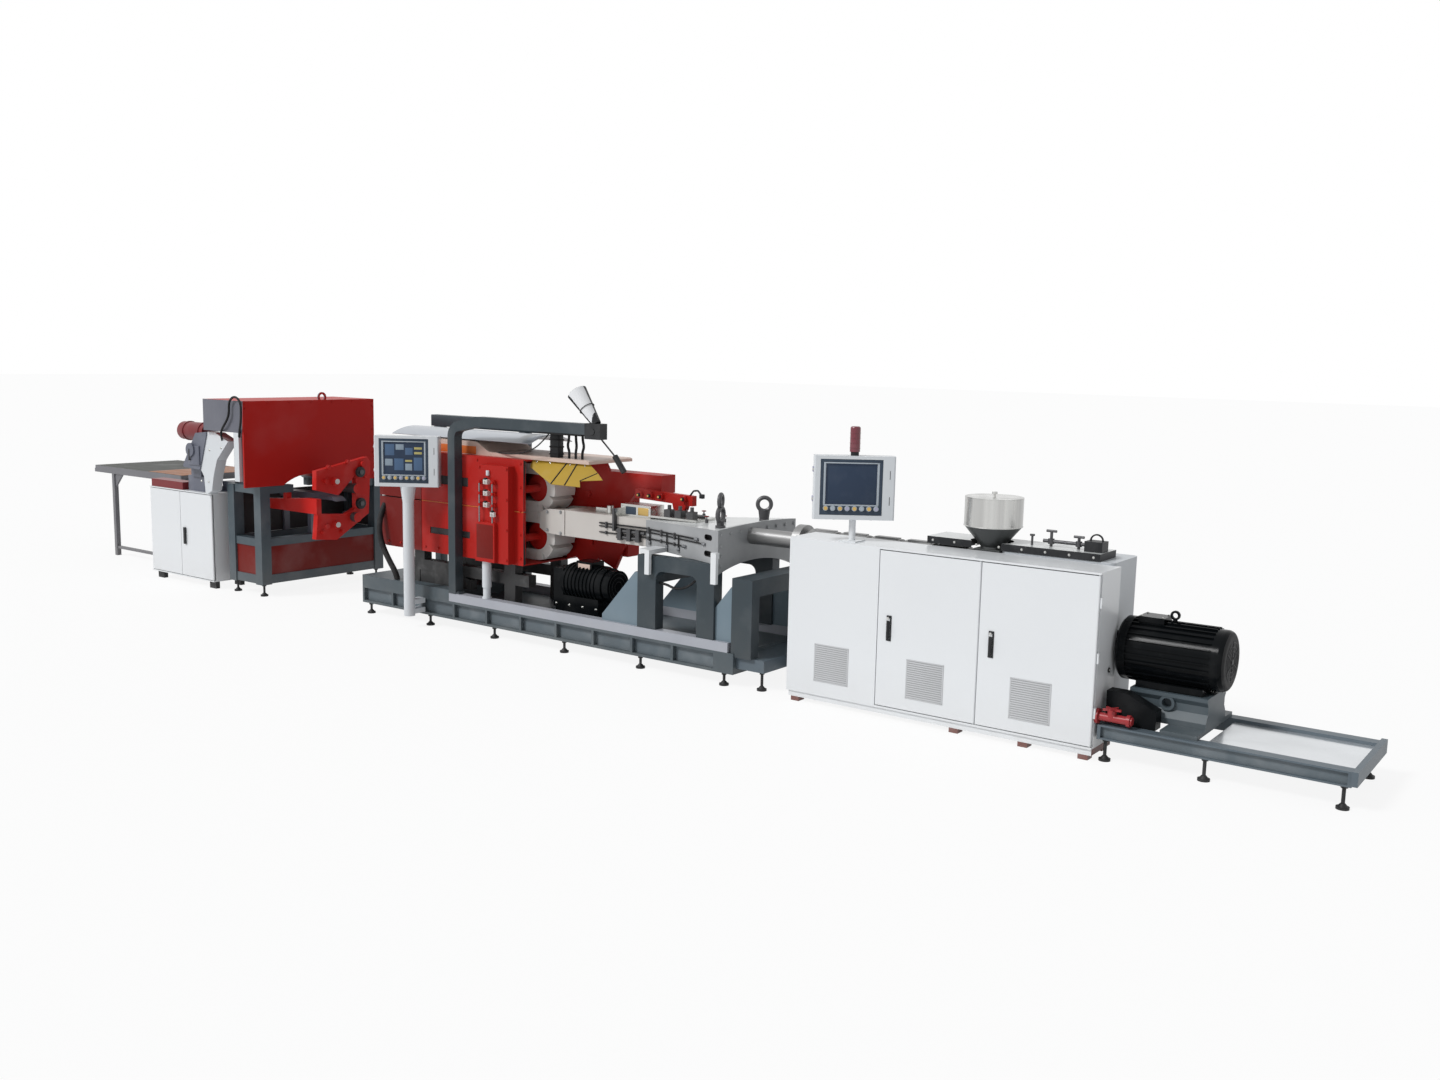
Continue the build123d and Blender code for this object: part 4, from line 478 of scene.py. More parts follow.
# %% Second finishes of the extruder
skid_foot = 27
cone_top = 1243
sleeve_right = 3870
sleeve_underside = 900
beacon_foot = 1661
cowl_left = 5440
hose_block_left = 4571
second_finish("cabinet_skid", cabinet_white, lambda c, n: c.z > skid_foot and n.x < 0.5)
# Painted light: the deck's upward faces get the pale top.
second_finish("feed_deck", lit_top_pale, lambda c, n: n.z > 0.5)
second_finish("hopper", cone_steel, lambda c, n: c.z < cone_top)
second_finish("barrel", black_paint, lambda c, n: c.x > sleeve_right or c.z < sleeve_underside)
second_finish("beacon", black_paint, lambda c, n: c.z < beacon_foot)
second_finish("drive_motor", rubber_black, lambda c, n: c.x > cowl_left)
second_finish("water_manifold", black_paint, lambda c, n: c.x > hose_block_left)
for base, web_y in (("extruder_base", 346), ("corrugator_base", 375)):
    second_finish(base, web_blue, lambda c, n: abs(n.y) > 0.9 and abs(abs(c.y) - web_y) < 3)

# %% Second finishes of the die
flare_start = 1291
slot_heights = (1013, 900)
# Painted light: the flare's upward faces get the pale top, and its sides the plain die grey.
second_finish("die_bed", lit_top_pale, lambda c, n: c.x > flare_start and n.z > 0.5)
second_finish("die_bed", die_grey, lambda c, n: c.x > flare_start and n.z <= 0.5)
# Painted shade: the slots in the bed's end are darkened.
second_finish("die_bed", gap_and_shade_dark, lambda c, n: 1988 < c.x < 2082 and -374 < c.y < -325
              and min(abs(c.z - height) for height in slot_heights) < 21)
# Painted light: the stand's braces and its faces that look up towards the sun get the lighter blue-grey.
second_finish("die_stand", lit_brace_blue, lambda c, n: abs(n.y) > 0.9 and 330 < abs(c.y) < 380)
second_finish("die_stand", lit_brace_blue, lambda c, n: n.x < -0.4 and n.z > 0.2)
second_finish("die_equipment", dark_steel, lambda c, n: c.y < -151)
second_finish("die_equipment", dark_steel, lambda c, n: 1399 < c.x < 1670 and c.z > 1078)

# %% Second finishes of the corrugator
left_end = -968
groove_y = 322
valve_column_x = -98
stand_top = 604
lamp_looks = Vector((0.44, -0.81, 0.38))
for housing in ("lower_housing", "upper_housing"):
    # Painted shade: the housings' left end gets the deeper red.
    second_finish(housing, painted_shade_red, lambda c, n: c.x < left_end)
    # Painted shade: the backs of the housings' recessed slots are darkened.
    second_finish(housing, gap_and_shade_dark, lambda c, n: abs(abs(c.y) - groove_y) < 1.5)
second_finish("valve_box", valve_white,
              lambda c, n: c.y < -401 and c.z > 1000 and abs(c.x - valve_column_x) < 22)
second_finish("valve_box", panel_white, lambda c, n: c.z < stand_top)
second_finish("work_lamp", lamp_white, lambda c, n: c.z > 1752 and c.x < 985 and n.dot(lamp_looks) > 0.55)

# %% Second finishes of the cutter and the table
grey_side_right = -2847
second_finish("cutter_hood", hood_grey, lambda c, n: c.x < grey_side_right and (n.y < -0.5 or n.x < -0.5))
second_finish("cutter_hood", panel_white, lambda c, n: -2978 < c.x < -2902 and c.y < -698 and c.z < 1486)
for jaw_z in (974, 710):
    second_finish("pipe_clamp", dark_steel,
                  lambda c, n: 70 < c.y < 170 and abs(n.x) < 0.9 and abs(c.z - jaw_z) < 46)
second_finish("side_cabinet", black_paint, lambda c, n: c.z < 69)
second_finish("saw_motor", black_paint, lambda c, n: c.x < -4128)
second_finish("table_board", leg_grey, lambda c, n: n.z < 0.5)

# %% [markdown]
# ## Tools for the small pieces
# New pieces start from primitives that are added where they belong, and are shaped in edit
# mode, mostly with bevels. Everything is deselected first, because the loader leaves the
# CAD nodes selected. Vertices could be typed in directly, but primitives read like steps at
# the screen. Sizes are in millimetres, as in the CAD model. The ends of a drum take their
# bevel only when edit mode opens in face mode. A bevelled drum leaves edge mode behind, so
# of the drums that ask for a bevel every second one gets it.

# %% Before and after each primitive
MM = 0.001


def clear_selection():
    """Leave edit mode and deselect everything."""
    if bpy.context.object and bpy.context.object.mode != "OBJECT":
        bpy.ops.object.mode_set(mode="OBJECT")
    bpy.ops.object.select_all(action="DESELECT")


def settle(finish):
    """Write the new primitive's place into its mesh, and give it a finish."""
    made = bpy.context.object
    bpy.ops.object.transform_apply(location=True, rotation=True, scale=True)
    made.data.materials.append(finish)
    return made


# %% Boxes with rounded edges
def block(finish, low, high, bevel=2.0, segments=2):
    """A box between two corners with rounded edges."""
    clear_selection()
    centre = [(a + b) / 2 * MM for a, b in zip(low, high)]
    size = [abs(b - a) * MM for a, b in zip(low, high)]
    bpy.ops.mesh.primitive_cube_add(size=1, location=centre, scale=size)
    made = settle(finish)
    if bevel:
        bpy.ops.object.mode_set(mode="EDIT")
        bpy.ops.mesh.select_all(action="SELECT")
        bpy.ops.mesh.bevel(offset=min(bevel * MM, min(size) * 0.45), segments=segments)
        bpy.ops.object.mode_set(mode="OBJECT")
    return made


# %% Round bars, cones and rings
def drum(finish, start, end, radius, bevel=1.5, sides=28, end_radius=None):
    """A round bar, or a cone, between two points; its ends are bevelled if edit mode opens in face mode."""
    clear_selection()
    run = Vector(end) - Vector(start)
    middle = (Vector(start) + Vector(end)) / 2 * MM
    turned = run.to_track_quat("Z", "Y").to_euler()
    bpy.ops.mesh.primitive_cone_add(vertices=sides, radius1=radius * MM,
                                    radius2=(radius if end_radius is None else end_radius) * MM,
                                    depth=run.length * MM, location=middle, rotation=turned)
    made = settle(finish)
    if bevel:
        for face in made.data.polygons:
            face.select = len(face.vertices) > 4
        bpy.ops.object.mode_set(mode="EDIT")
        bpy.ops.mesh.select_mode(type="FACE")
        bpy.ops.mesh.region_to_loop()
        bpy.ops.mesh.bevel(offset=bevel * MM, segments=2)
        bpy.ops.object.mode_set(mode="OBJECT")
    return made


def ring(finish, centre, axis, radius, thickness, sides=32):
    """A round ring about an axis."""
    clear_selection()
    turned = Vector(axis).to_track_quat("Z", "Y").to_euler()
    bpy.ops.mesh.primitive_torus_add(location=Vector(centre) * MM, rotation=turned,
                                     major_segments=sides, minor_segments=10,
                                     major_radius=radius * MM, minor_radius=thickness * MM)
    return settle(finish)


# %% [markdown]
# ## Copying and joining
# A small piece is made of several parts that are joined at the end, so that it is one mesh
# with its place in it. What repeats is modelled once and copied, each copy with its own
# mesh, and the pattern is removed. Linked copies would be lighter, but each piece
# needs a mesh of its own.

# %% Copying, removing and joining
def copied(source, shift=(0, 0, 0), matrix=None):
    """A copy with its own mesh, moved by a shift in millimetres or by a matrix."""
    made = source.copy()
    made.data = source.data.copy()
    bpy.context.scene.collection.objects.link(made)
    made.data.transform(matrix if matrix is not None else Matrix.Translation(Vector(shift) * MM))
    return made


def placed(parts, shift=(0, 0, 0), matrix=None):
    """A copy of each part of a pattern, all moved alike."""
    return [copied(part, shift, matrix) for part in parts]


def removed(parts):
    """Take away a pattern that has been copied to its places."""
    for part in parts:
        bpy.data.objects.remove(part)


def piece(name, parts, body="line"):
    """Join the parts into one named piece that rides on a CAD body."""
    clear_selection()
    for part in parts:
        part.select_set(True)
    bpy.context.view_layer.objects.active = parts[0]
    if len(parts) > 1:
        bpy.ops.object.join()
    made = bpy.context.object
    made.name = name
    bpy.ops.object.shade_smooth_by_angle(angle=math.radians(34))
    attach(made, body)
    print(name, len(made.data.polygons), "faces on", body)
    return made


# %% [markdown]
# ## Hex bolts
# A bolt head is a six-sided drum with rounded edges on a round washer. It is modelled once
# at the origin, looking up, and then copied and turned to each face that is bolted. Bolts
# as instances on points would be lighter, but copies can be joined to the piece that they
# belong to.

# %% One bolt
washer = drum(bright_steel, (0, 0, -1), (0, 0, 2.5), 13, 0.6, 18)
head = drum(bright_steel, (0, 0, 2.5), (0, 0, 9), 10, 0.8, 6)
clear_selection()
washer.select_set(True)
head.select_set(True)
bpy.context.view_layer.objects.active = washer
bpy.ops.object.join()
bolt_head = bpy.context.object
print("bolt faces", len(bolt_head.data.polygons))

# %% Single bolts, rows and circles
def bolt_at(place, facing, size=10, finish=None):
    """A copy of the bolt at a point of a face that looks along facing, bare or painted over."""
    turned = Vector((0, 0, 1)).rotation_difference(Vector(facing)).to_matrix().to_4x4()
    there = Matrix.Translation(Vector(place) * MM)
    made = copied(bolt_head, matrix=there @ turned @ Matrix.Scale(size / 10, 4))
    made.data.materials[0] = finish or bright_steel
    return made


def bolt_row(start, end, count, facing, size=10, finish=None):
    """Evenly spaced bolts from one point to another."""
    return [bolt_at(Vector(start).lerp(Vector(end), index / (count - 1)), facing, size, finish)
            for index in range(count)]


def bolt_ring(centre, facing, radius, count, size=10, finish=None):
    """Bolts on a circle about a centre."""
    arm = Vector(facing).orthogonal().normalized() * radius
    arms = [Matrix.Rotation(math.tau * index / count, 3, Vector(facing)) @ arm for index in range(count)]
    return [bolt_at(Vector(centre) + turned_arm, facing, size, finish) for turned_arm in arms]


# %% [markdown]
# ## Cabinet louvres
# Air for the cabinet comes through three louvred fields. A field is a backing sheet,
# seventeen slats and a rim. The slat is modelled once and repeated with an Array modifier
# that is applied; slats placed by hand could drift. The whole field is then copied to its
# three places, the fixed front and the two doors.

# %% Louvres
front_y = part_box("left_panel")[0][1] * 1000
vent_z = 166
vent_width, vent_height = 250, 243
vent_xs = {"line": 2946, "middle_door": 3621, "right_door": 4312}
backing = block(louvre_shade, (2, front_y - 0.8, vent_z + 2),
                (vent_width - 2, front_y + 1.5, vent_z + 241), 0)
slat = block(louvre_grey, (5, front_y - 3.2, vent_z + 6),
             (vent_width - 5, front_y - 0.6, vent_z + 15.5), 0.9)
stack = slat.modifiers.new("slats", "ARRAY")
stack.count = 17
stack.use_relative_offset = False
stack.use_constant_offset = True
stack.constant_offset_displace = (0, 0, 13.7 * MM)
bpy.ops.object.modifier_apply(modifier="slats")
field = [backing, slat]
for low, high in (((-4, -4), (254, 4)), ((-4, 239), (254, 247)), ((-4, 0), (5, vent_height)),
                  ((vent_width - 5, 0), (254, vent_height))):
    rim_low = (low[0], front_y - 3, vent_z + low[1])
    rim_high = (high[0], front_y, vent_z + high[1])
    field.append(block(louvre_grey, rim_low, rim_high, 1))
for body, vent_x in vent_xs.items():
    piece("louvre_of_" + body, placed(field, (vent_x, 0, 0)), body)
removed(field)

# %% [markdown]
# ## Handles and latch
# The two doors close with black swing handles: a dished plate, a lever and a small lock.
# The same lines build both from bevelled boxes and a drum, each where it belongs. A handle
# could be one sculpted mesh, but its flat forms bevel well. The side cabinet has a plainer
# latch.

# %% Swing handles and the latch
for body, handle_x in (("middle_door", 3485), ("right_door", 4176)):
    dish = block(black_paint, (handle_x - 17, front_y - 5.5, 508), (handle_x + 17, front_y, 670), 4, 3)
    lever = block(black_paint, (handle_x - 10, front_y - 22, 522), (handle_x + 10, front_y - 4, 640), 6, 3)
    lock = drum(bright_steel, (handle_x, front_y - 20, 655), (handle_x, front_y - 4, 655), 8)
    piece("swing_handle_of_" + body, [dish, lever, lock], body)
side_front_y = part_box("side_right_door")[0][1] * 1000
latch = [block(black_paint, (-3929, side_front_y - 4, 386), (-3897, side_front_y + 12, 544), 4, 3),
         block(black_paint, (-3922, side_front_y - 5, 402), (-3904, side_front_y + 6, 516), 4, 3)]
piece("latch_of_side_cabinet", latch, "side_right_door")

# %% [markdown]
# ## Lock and hinges on the cabinet's end
# The cabinet's right end has a small round lock and three hinges. A hinge is a knuckle and
# a leaf, made once and copied up the edge. An Array modifier could repeat it as well, but
# three places are written sooner.

# %% Lock and hinges on the end
end_lock = [drum(black_paint, (4819, -200, 499), (4826, -200, 499), 15),
            drum(bright_steel, (4825, -200, 499), (4829, -200, 499), 7)]
piece("end_lock", end_lock)
hinge = [drum(cabinet_white, (4823, -392, 250), (4823, -392, 310), 7),
         block(cabinet_white, (4819, -390, 252), (4823, -355, 308), 1)]
hinges = [part for rise in (0, 320, 640) for part in placed(hinge, (0, 0, rise))]
removed(hinge)
piece("end_hinges", hinges, "line")

# %% [markdown]
# ## Operator panels
# Both panels show a framed screen with a row of push buttons below it and mounting lugs at
# the side. A screen gives off a little light, so its finish adds emission to the paint. A
# picture on one plane could show the screen too, but coloured tiles stay sharp and need no
# image.

# %% Screen finishes
def screen_finish(name, colour, glow):
    """A dark glossy screen that gives off a little light."""
    material = paint(name, colour, 0.2, 0.05, 8.0, 0.0, skin=0.0, gloss=0.15)
    shader = material.node_tree.nodes["Principled BSDF"]
    shader.inputs["Emission Color"].default_value = (*colour, 1)
    shader.inputs["Emission Strength"].default_value = glow
    return material


screen_navy = screen_finish("screen navy", (0.026, 0.041, 0.072), 0.2)
screen_dim = screen_finish("screen dim", (0.026, 0.042, 0.070), 0.25)
screen_blue = screen_finish("screen blue", (0.055, 0.095, 0.165), 0.4)
screen_pale = screen_finish("screen pale", (0.20, 0.25, 0.30), 0.3)
screen_ochre = screen_finish("screen ochre", (0.34, 0.30, 0.12), 0.3)
screen_finishes = (screen_navy, screen_dim, screen_blue, screen_pale, screen_ochre)
print("screen finishes", [finish.name for finish in screen_finishes])

# %% [markdown]
# ## The front of a panel
# Both panels are the same sheet box with the same bezel, buttons, lugs and cable glands,
# and differ in what their screens show. So a function builds a front round the tiles that
# it is given. It is made in a square position, where every bar is a plain box, and turned
# afterwards, because the panels stand at an angle to the line. Each tile is a thin box a
# hair in front of the last, so that none flickers with another; faces of one grid with
# different materials couldn't overlap.

# %% Screen and bezel
panel_front = -55
bezel_bars = (((-218, 30), (178, 58)), ((-218, 366), (178, 385)), ((-218, 58), (-197, 366)),
              ((157, 58), (178, 366)), ((-197, 58), (157, 88)))
inner_bars = (((-197, 88), (157, 97)), ((-197, 358), (157, 366)), ((-197, 97), (-184, 358)),
              ((144, 97), (157, 358)))


def screen_parts(tiles):
    """The screen with its bezel and its tiles, in a square position."""
    parts = [block(screen_navy, (-182, panel_front + 7, 98), (142, panel_front + 10, 357), 1)]
    for finish, proud, bars in ((bezel_navy, 1, bezel_bars), (bezel_pale, -1, inner_bars)):
        for low, high in bars:
            bar_low = (low[0], panel_front + proud, low[1])
            bar_high = (high[0], panel_front + 5.5, high[1])
            parts.append(block(finish, bar_low, bar_high, 1.5))
    for layer, (finish, low, high) in enumerate(tiles):
        tile_low = (low[0], panel_front + 6 - 0.15 * layer, low[1])
        tile_high = (high[0], panel_front + 8, high[1])
        parts.append(block(finish, tile_low, tile_high, 0.8))
    return parts


# %% Buttons, lugs and glands
def fitting_parts():
    """Push buttons, lugs, seams, the back sheet and the cable glands, in a square position."""
    parts = []
    for index in range(8):
        knob_x = -180 + 46 * index
        cap = (brass_yellow, bezel_pale, brass_yellow, lilac_lug)[index % 4]
        collar_foot, collar_top = (knob_x, panel_front + 2, 72), (knob_x, panel_front - 3, 72)
        parts.append(drum(bezel_pale, collar_foot, collar_top, 17, 1, 20))
        parts.append(drum(cap, (knob_x, panel_front - 2, 72), (knob_x, panel_front - 12, 72), 12, 2, 20))
    for lug_z in (112, 300):
        parts.append(block(lilac_lug, (-267, -30, lug_z), (-257, 10, lug_z + 34), 3))
        parts.append(bolt_at((-262, -30, lug_z + 17), (0, -1, 0), 6))
    for seam_z in (96, 262):
        seam_low, seam_high = (222, panel_front - 1, seam_z), (226, panel_front + 1, seam_z + 54)
        parts.append(block(gap_and_shade_dark, seam_low, seam_high, 0.8))
    parts.append(block(panel_white, (-256, 54, 14), (256, 58, 394), 2))
    for gland_x in (-120, 0, 120):
        parts.append(drum(black_paint, (gland_x, 30, 2), (gland_x, 30, -10), 12, 2, 18))
    return parts


# %% [markdown]
# ## The two panels
# The extruder's screen shows one dark page, the corrugator's a page of tiles. Both fronts
# are turned by the angle of their panel and moved to its foot. Turning the finished object
# would do as well, but here the turn is written into the meshes, like every other place.

# %% The two panels
panel_turn = 36
extruder_tiles = [(screen_dim, (-168, 116), (128, 340)), (screen_navy, (-160, 124), (120, 332))]
corrugator_tiles = [(screen_blue, (-170, 250), (-96, 340)), (screen_pale, (-84, 296), (-20, 340)),
                    (screen_blue, (-8, 256), (52, 312)), (screen_ochre, (64, 300), (126, 318)),
                    (screen_ochre, (64, 262), (126, 280)), (screen_pale, (-170, 168), (-110, 222)),
                    (screen_blue, (-96, 132), (-22, 226)), (screen_ochre, (-8, 200), (46, 216)),
                    (screen_pale, (-8, 132), (46, 186)), (screen_blue, (60, 132), (128, 236))]


def panel_face(name, body, foot, tiles):
    """A front with its tiles as one piece, turned and moved to the panel's foot."""
    parts = screen_parts(tiles) + fitting_parts()
    there = Matrix.Translation(Vector(foot) * MM) @ Matrix.Rotation(math.radians(panel_turn), 4, "Z")
    for part in parts:
        part.data.transform(there)
    return piece(name, parts, body)


panel_face("front_of_operator_panel", "operator_panel", (3130, -300, 1236), extruder_tiles)
panel_face("front_of_corrugator_panel", "corrugator_panel", (-880, -540, 1156), corrugator_tiles)

# %% [markdown]
# ## Beacon
# The signal beacon above the extruder's panel is a stack of lenses with a bead between each
# two. The beads are thin rings, which a torus gives directly; loops bevelled into the CAD
# node could give them too, but that node stays as it is.

# %% Beacon rings
bead_heights = (1690, 1722, 1754, 1786)
beacon_rings = [ring(beacon_maroon, (3130, -300, bead_z), (0, 0, 1), 33, 2.5) for bead_z in bead_heights]
piece("beacon_rings", beacon_rings, "operator_panel")

# %% [markdown]
# ## The drive motor's grille
# The fan at the motor's end draws air through a grille of rings and spokes. They are tori
# and thin drums about the motor's axis. A disc with a Wireframe modifier could give a
# grille as well, but round bars look like the real wire. The motor's terminal box has a
# screw at each corner.

# %% Fan grille and terminal box
cowl_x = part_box("drive_motor")[1][0] * 1000
axis_z = 610
grille = [ring(black_paint, (cowl_x, 0, axis_z), (1, 0, 0), radius, 2.6) for radius in (34, 60, 86, 112)]
for spoke in range(6):
    arm = Matrix.Rotation(math.radians(60 * spoke), 3, "X") @ Vector((0, 0, 118))
    hub = Vector((cowl_x + 0.5, 0, axis_z))
    grille.append(drum(black_paint, hub + arm * 0.12, hub + arm, 3, 0, 10))
grille.append(drum(black_paint, (cowl_x - 2, 0, axis_z), (cowl_x + 5, 0, axis_z), 18, 2, 24))
piece("fan_grille", grille)
box_top = 816
box_screws = []
for edge_y in (-55, 55):
    box_screws += bolt_row((4945, edge_y, box_top), (5065, edge_y, box_top), 2, (0, 0, 1), 6)
piece("terminal_box_screws", box_screws)

# %% [markdown]
# ## Bolts of the gearbox, the barrel and the deck
# The gearbox is closed by two bolted caps and a bolted split line, the barrel's flange
# carries a circle of bolts, and the deck below the hopper is screwed on along its front.
# All are copies of the one bolt at even steps. Each could be set by hand, but a row that is
# worked out stays even.

# %% Bolts of the gearbox, the barrel and the deck
gear_bolts = bolt_ring((4230, 352, 850), (0, 1, 0), 58, 8, 8)
gear_bolts += bolt_ring((4606, 352, 720), (0, 1, 0), 76, 8, 8)
for split_z in (990, 610):
    gear_bolts += bolt_row((4150, 346, split_z), (4690, 346, split_z), 7, (0, 1, 0), 9)
piece("gearbox_bolts", gear_bolts, "line")
flange_bolts = bolt_ring((2540, 0, 1000), (-1, 0, 0), 88, 10, 11)
piece("barrel_flange_bolts", flange_bolts, "line")
deck_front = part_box("feed_deck")[0][1] * 1000
deck_screws = bolt_row((3600, deck_front, 1127), (4650, deck_front, 1127), 8, (0, -1, 0), 6)
piece("deck_screws", deck_screws, "line")

# %% [markdown]
# ## The hopper's bead and sight glass
# A bead runs round the hopper where its cylinder meets the cone, and a small round glass in
# the cone shows the level of the pellets. Both are thin tori. A spun profile would give the
# same bead with more steps.

# %% The hopper's bead and sight glass
hopper_x = 3965
rim = [ring(hopper_steel_with_painted_streaks, (hopper_x, 0, 1245), (0, 0, 1), 180, 3.5, 48)]
glass_place = Vector((hopper_x + 96, -96, 1208))
glass_face = Vector((0.55, -0.55, -0.62))
rim.append(ring(bright_steel, glass_place, glass_face, 15, 2.5, 24))
rim.append(drum(gap_and_shade_dark, glass_place - glass_face * 4, glass_place + glass_face * 1.5, 14, 0, 24))
piece("hopper_rim_and_glass", rim, "line")

# %% [markdown]
# ## Bolts of the die bed
# The bed's end plate is screwed on along its top and down both its sides, and more bolts
# hold the bed's other end. Their heads are painted over with the bed, so the copies get its
# grey. Heads could be extruded from the CAD node, but that node is left alone.

# %% Bolts of the die bed
plate_x, plate_front, plate_back = 2136, -370, 530
top_row = ((plate_x, plate_front, 1040), (plate_x, plate_back, 1040), 9)
front_row = ((plate_x, plate_front, 960), (plate_x, plate_front, 820), 3)
back_row = ((plate_x, plate_back, 960), (plate_x, plate_back, 800), 3)
die_bolts = []
for start, end, count in (top_row, front_row, back_row):
    die_bolts += bolt_row(start, end, count, (1, 0, 0), 12, die_grey)
for bolt_x, low_z, high_z in ((300, 880, 1020), (440, 866, 1030)):
    die_bolts += bolt_row((bolt_x, -160, low_z), (bolt_x, -160, high_z), 2, (0, -1, 0), 10, die_grey)
piece("die_bolts", die_bolts, "line")

# %% [markdown]
# ## Bars with bends
# Pipes and tubes run straight and then turn with one radius. Drums with a ball at each
# corner could follow such a route, but a real pipe has no corners. So the arc in each
# corner is worked out first, the route becomes a curve with a round or square section, and
# the curve is made a mesh.

# %% A bar along a bent route
def bent_bar(finish, points, half, bend, square=False):
    """A round or square bar along straight runs that are joined by bends of one radius."""
    clear_selection()
    places = [Vector(point) for point in points]
    route = [places[0]]
    for before, corner, after in zip(places, places[1:], places[2:]):
        back, ahead = (before - corner).normalized(), (after - corner).normalized()
        opening = back.angle(ahead) / 2
        hub = corner + (back + ahead).normalized() * bend / math.sin(opening)
        first = corner + back * bend / math.tan(opening) - hub
        last = corner + ahead * bend / math.tan(opening) - hub
        swing = first.rotation_difference(last)
        route += [hub + Quaternion().slerp(swing, step / 6) @ first for step in range(7)]
    route.append(places[-1])
    curve = bpy.data.curves.new("bar", "CURVE")
    curve.dimensions = "3D"
    curve.use_fill_caps = True
    run = curve.splines.new("POLY")
    run.points.add(len(route) - 1)
    for point, place in zip(run.points, route):
        point.co = (*(place * MM), 1)
    if square:
        section = bpy.data.curves.new("section", "CURVE")
        outline = section.splines.new("POLY")
        outline.points.add(3)
        outline.use_cyclic_u = True
        for point, (across, up) in zip(outline.points, ((-1, -1), (1, -1), (1, 1), (-1, 1))):
            point.co = (across * half * MM, up * half * MM, 0, 1)
        curve.bevel_mode = "OBJECT"
        curve.bevel_object = bpy.data.objects.new("section", section)
        bpy.context.scene.collection.objects.link(curve.bevel_object)
    else:
        curve.bevel_depth = half * MM
        curve.bevel_resolution = 2
    made = bpy.data.objects.new("bar", curve)
    bpy.context.scene.collection.objects.link(made)
    made.select_set(True)
    bpy.context.view_layer.objects.active = made
    section_object = curve.bevel_object
    bpy.ops.object.convert(target="MESH")
    if section_object:
        bpy.data.objects.remove(section_object)
    made = bpy.context.object
    made.data.materials.clear()
    made.data.materials.append(finish)
    return made


# %% [markdown]
# ## Lubricating pipes
# Three thin pipes run along the front of the beam, follow its flare and end in steel
# sleeves. Clips hold them, and three short pipes drop from the top one. They could be hung
# as cords, but they are rigid, so they are bent bars.

# %% Lubricating pipes
bend_x, bed_end_x = 1290, 2110


def flare_front(x):
    """The bed's front surface at a place along the line."""
    return -150 if x < bend_x else -150 - 250 * (x - bend_x) / (bed_end_x - bend_x)


pipes = []
for pipe_z, pipe_end, radius in ((985, 1900, 6), (962, 1980, 5), (916, 1760, 5)):
    end_y = flare_front(pipe_end) - 8
    route = [(840, -157, pipe_z), (bend_x, -157, pipe_z), (pipe_end, end_y, pipe_z)]
    pipes.append(bent_bar(rubber_black, route, radius, 80))
    sleeve_end = (pipe_end + 26, flare_front(pipe_end + 20) - 8, pipe_z)
    pipes.append(drum(tap_steel, (pipe_end - 6, end_y, pipe_z), sleeve_end, radius + 5, 1.5, 16))
    for clip_x in (900, 1320, 1480, 1640):
        clip_y = flare_front(clip_x)
        clip_low = (clip_x, clip_y - 16, pipe_z - 13)
        clip_high = (clip_x + 16, clip_y + 8, pipe_z + 13)
        pipes.append(block(dark_steel, clip_low, clip_high, 3))
for drop_x in (1350, 1560, 1700):
    drop_y = flare_front(drop_x) - 9
    pipes.append(drum(rubber_black, (drop_x, drop_y, 985), (drop_x, drop_y, 880), 5, 0, 12))
    pipes.append(drum(tap_steel, (drop_x, drop_y, 900), (drop_x, drop_y, 872), 10, 2, 16))
piece("lubricating_pipes", pipes)

# %% [markdown]
# ## Taps and plates on the die bed
# Small taps with red wheels stand on the bed. One is modelled at the origin from two drums
# and a ring and copied to its places, as all of them are alike. A spun profile would be
# smoother, but at this size it would not show. Two small plates without any writing are
# screwed to the front of the die's equipment.

# %% Taps and plates on the die bed
tap = [drum(dark_steel, (0, 0, 0), (0, 0, 26), 12, 2, 18),
       drum(tap_steel, (0, 0, 26), (0, 0, 44), 5, 1, 12),
       ring(dark_red, (0, 0, 46), (0, 0, 1), 14, 3.5, 20)]
beam_top, block_top, flare_top = 1048, 1077, 1062
taps = []
for tap_place in ((760, 70, beam_top), (1050, 86, beam_top), (1180, 86, beam_top), (1480, 90, block_top),
                  (1640, 90, block_top), (1780, -60, flare_top), (1850, 60, flare_top)):
    taps += placed(tap, tap_place)
removed(tap)
for finish, label_x in ((bezel_navy, 1050), (brass_yellow, 1170)):
    taps.append(block(finish, (label_x, -101.5, 1066), (label_x + 100, -99, 1124), 2))
for screw_z in (1062, 1130):
    taps += bolt_row((1016, -100, screw_z), (1278, -100, screw_z), 2, (0, -1, 0), 6)
piece("die_taps", taps, "line")

# %% [markdown]
# ## Fittings of the air manifold
# A bent hook with a block at its end and four caps with brass plugs sit on the air
# manifold. The hook is a bent bar; a torus cut in half would have no straight legs.

# %% Fittings of the air manifold
hook_route = [(1500, 91, 1214), (1540, 91, 1262), (1580, 91, 1268), (1612, 91, 1236)]
fittings = [bent_bar(black_paint, hook_route, 7, 16),
            block(black_paint, (1600, 78, 1212), (1636, 104, 1244), 4)]
for cap_x in (1060, 1160, 1260, 1480):
    fittings.append(drum(black_paint, (cap_x, 40, 1200), (cap_x, 26, 1200), 14, 2, 18))
    fittings.append(drum(brass_yellow, (cap_x, 26, 1200), (cap_x, 18, 1200), 8, 1, 14))
piece("manifold_fittings", fittings)

# %% [markdown]
# ## Lifting eyes
# The two lifting eyes on the die bed are stouter than plain rings: each is forged in one
# with a flattened shank that widens into the ring, on a collar. The near one is seen almost
# edge-on, and a second ring on top makes it taller. A curve with a round section could make
# the rings too, but a torus takes its sizes directly. They stand for the CAD model's
# thinner eyes.

# %% Lifting eyes
eye_x, near_eye_y, far_eye_y, eye_foot = 2070, -287, 243, 1076


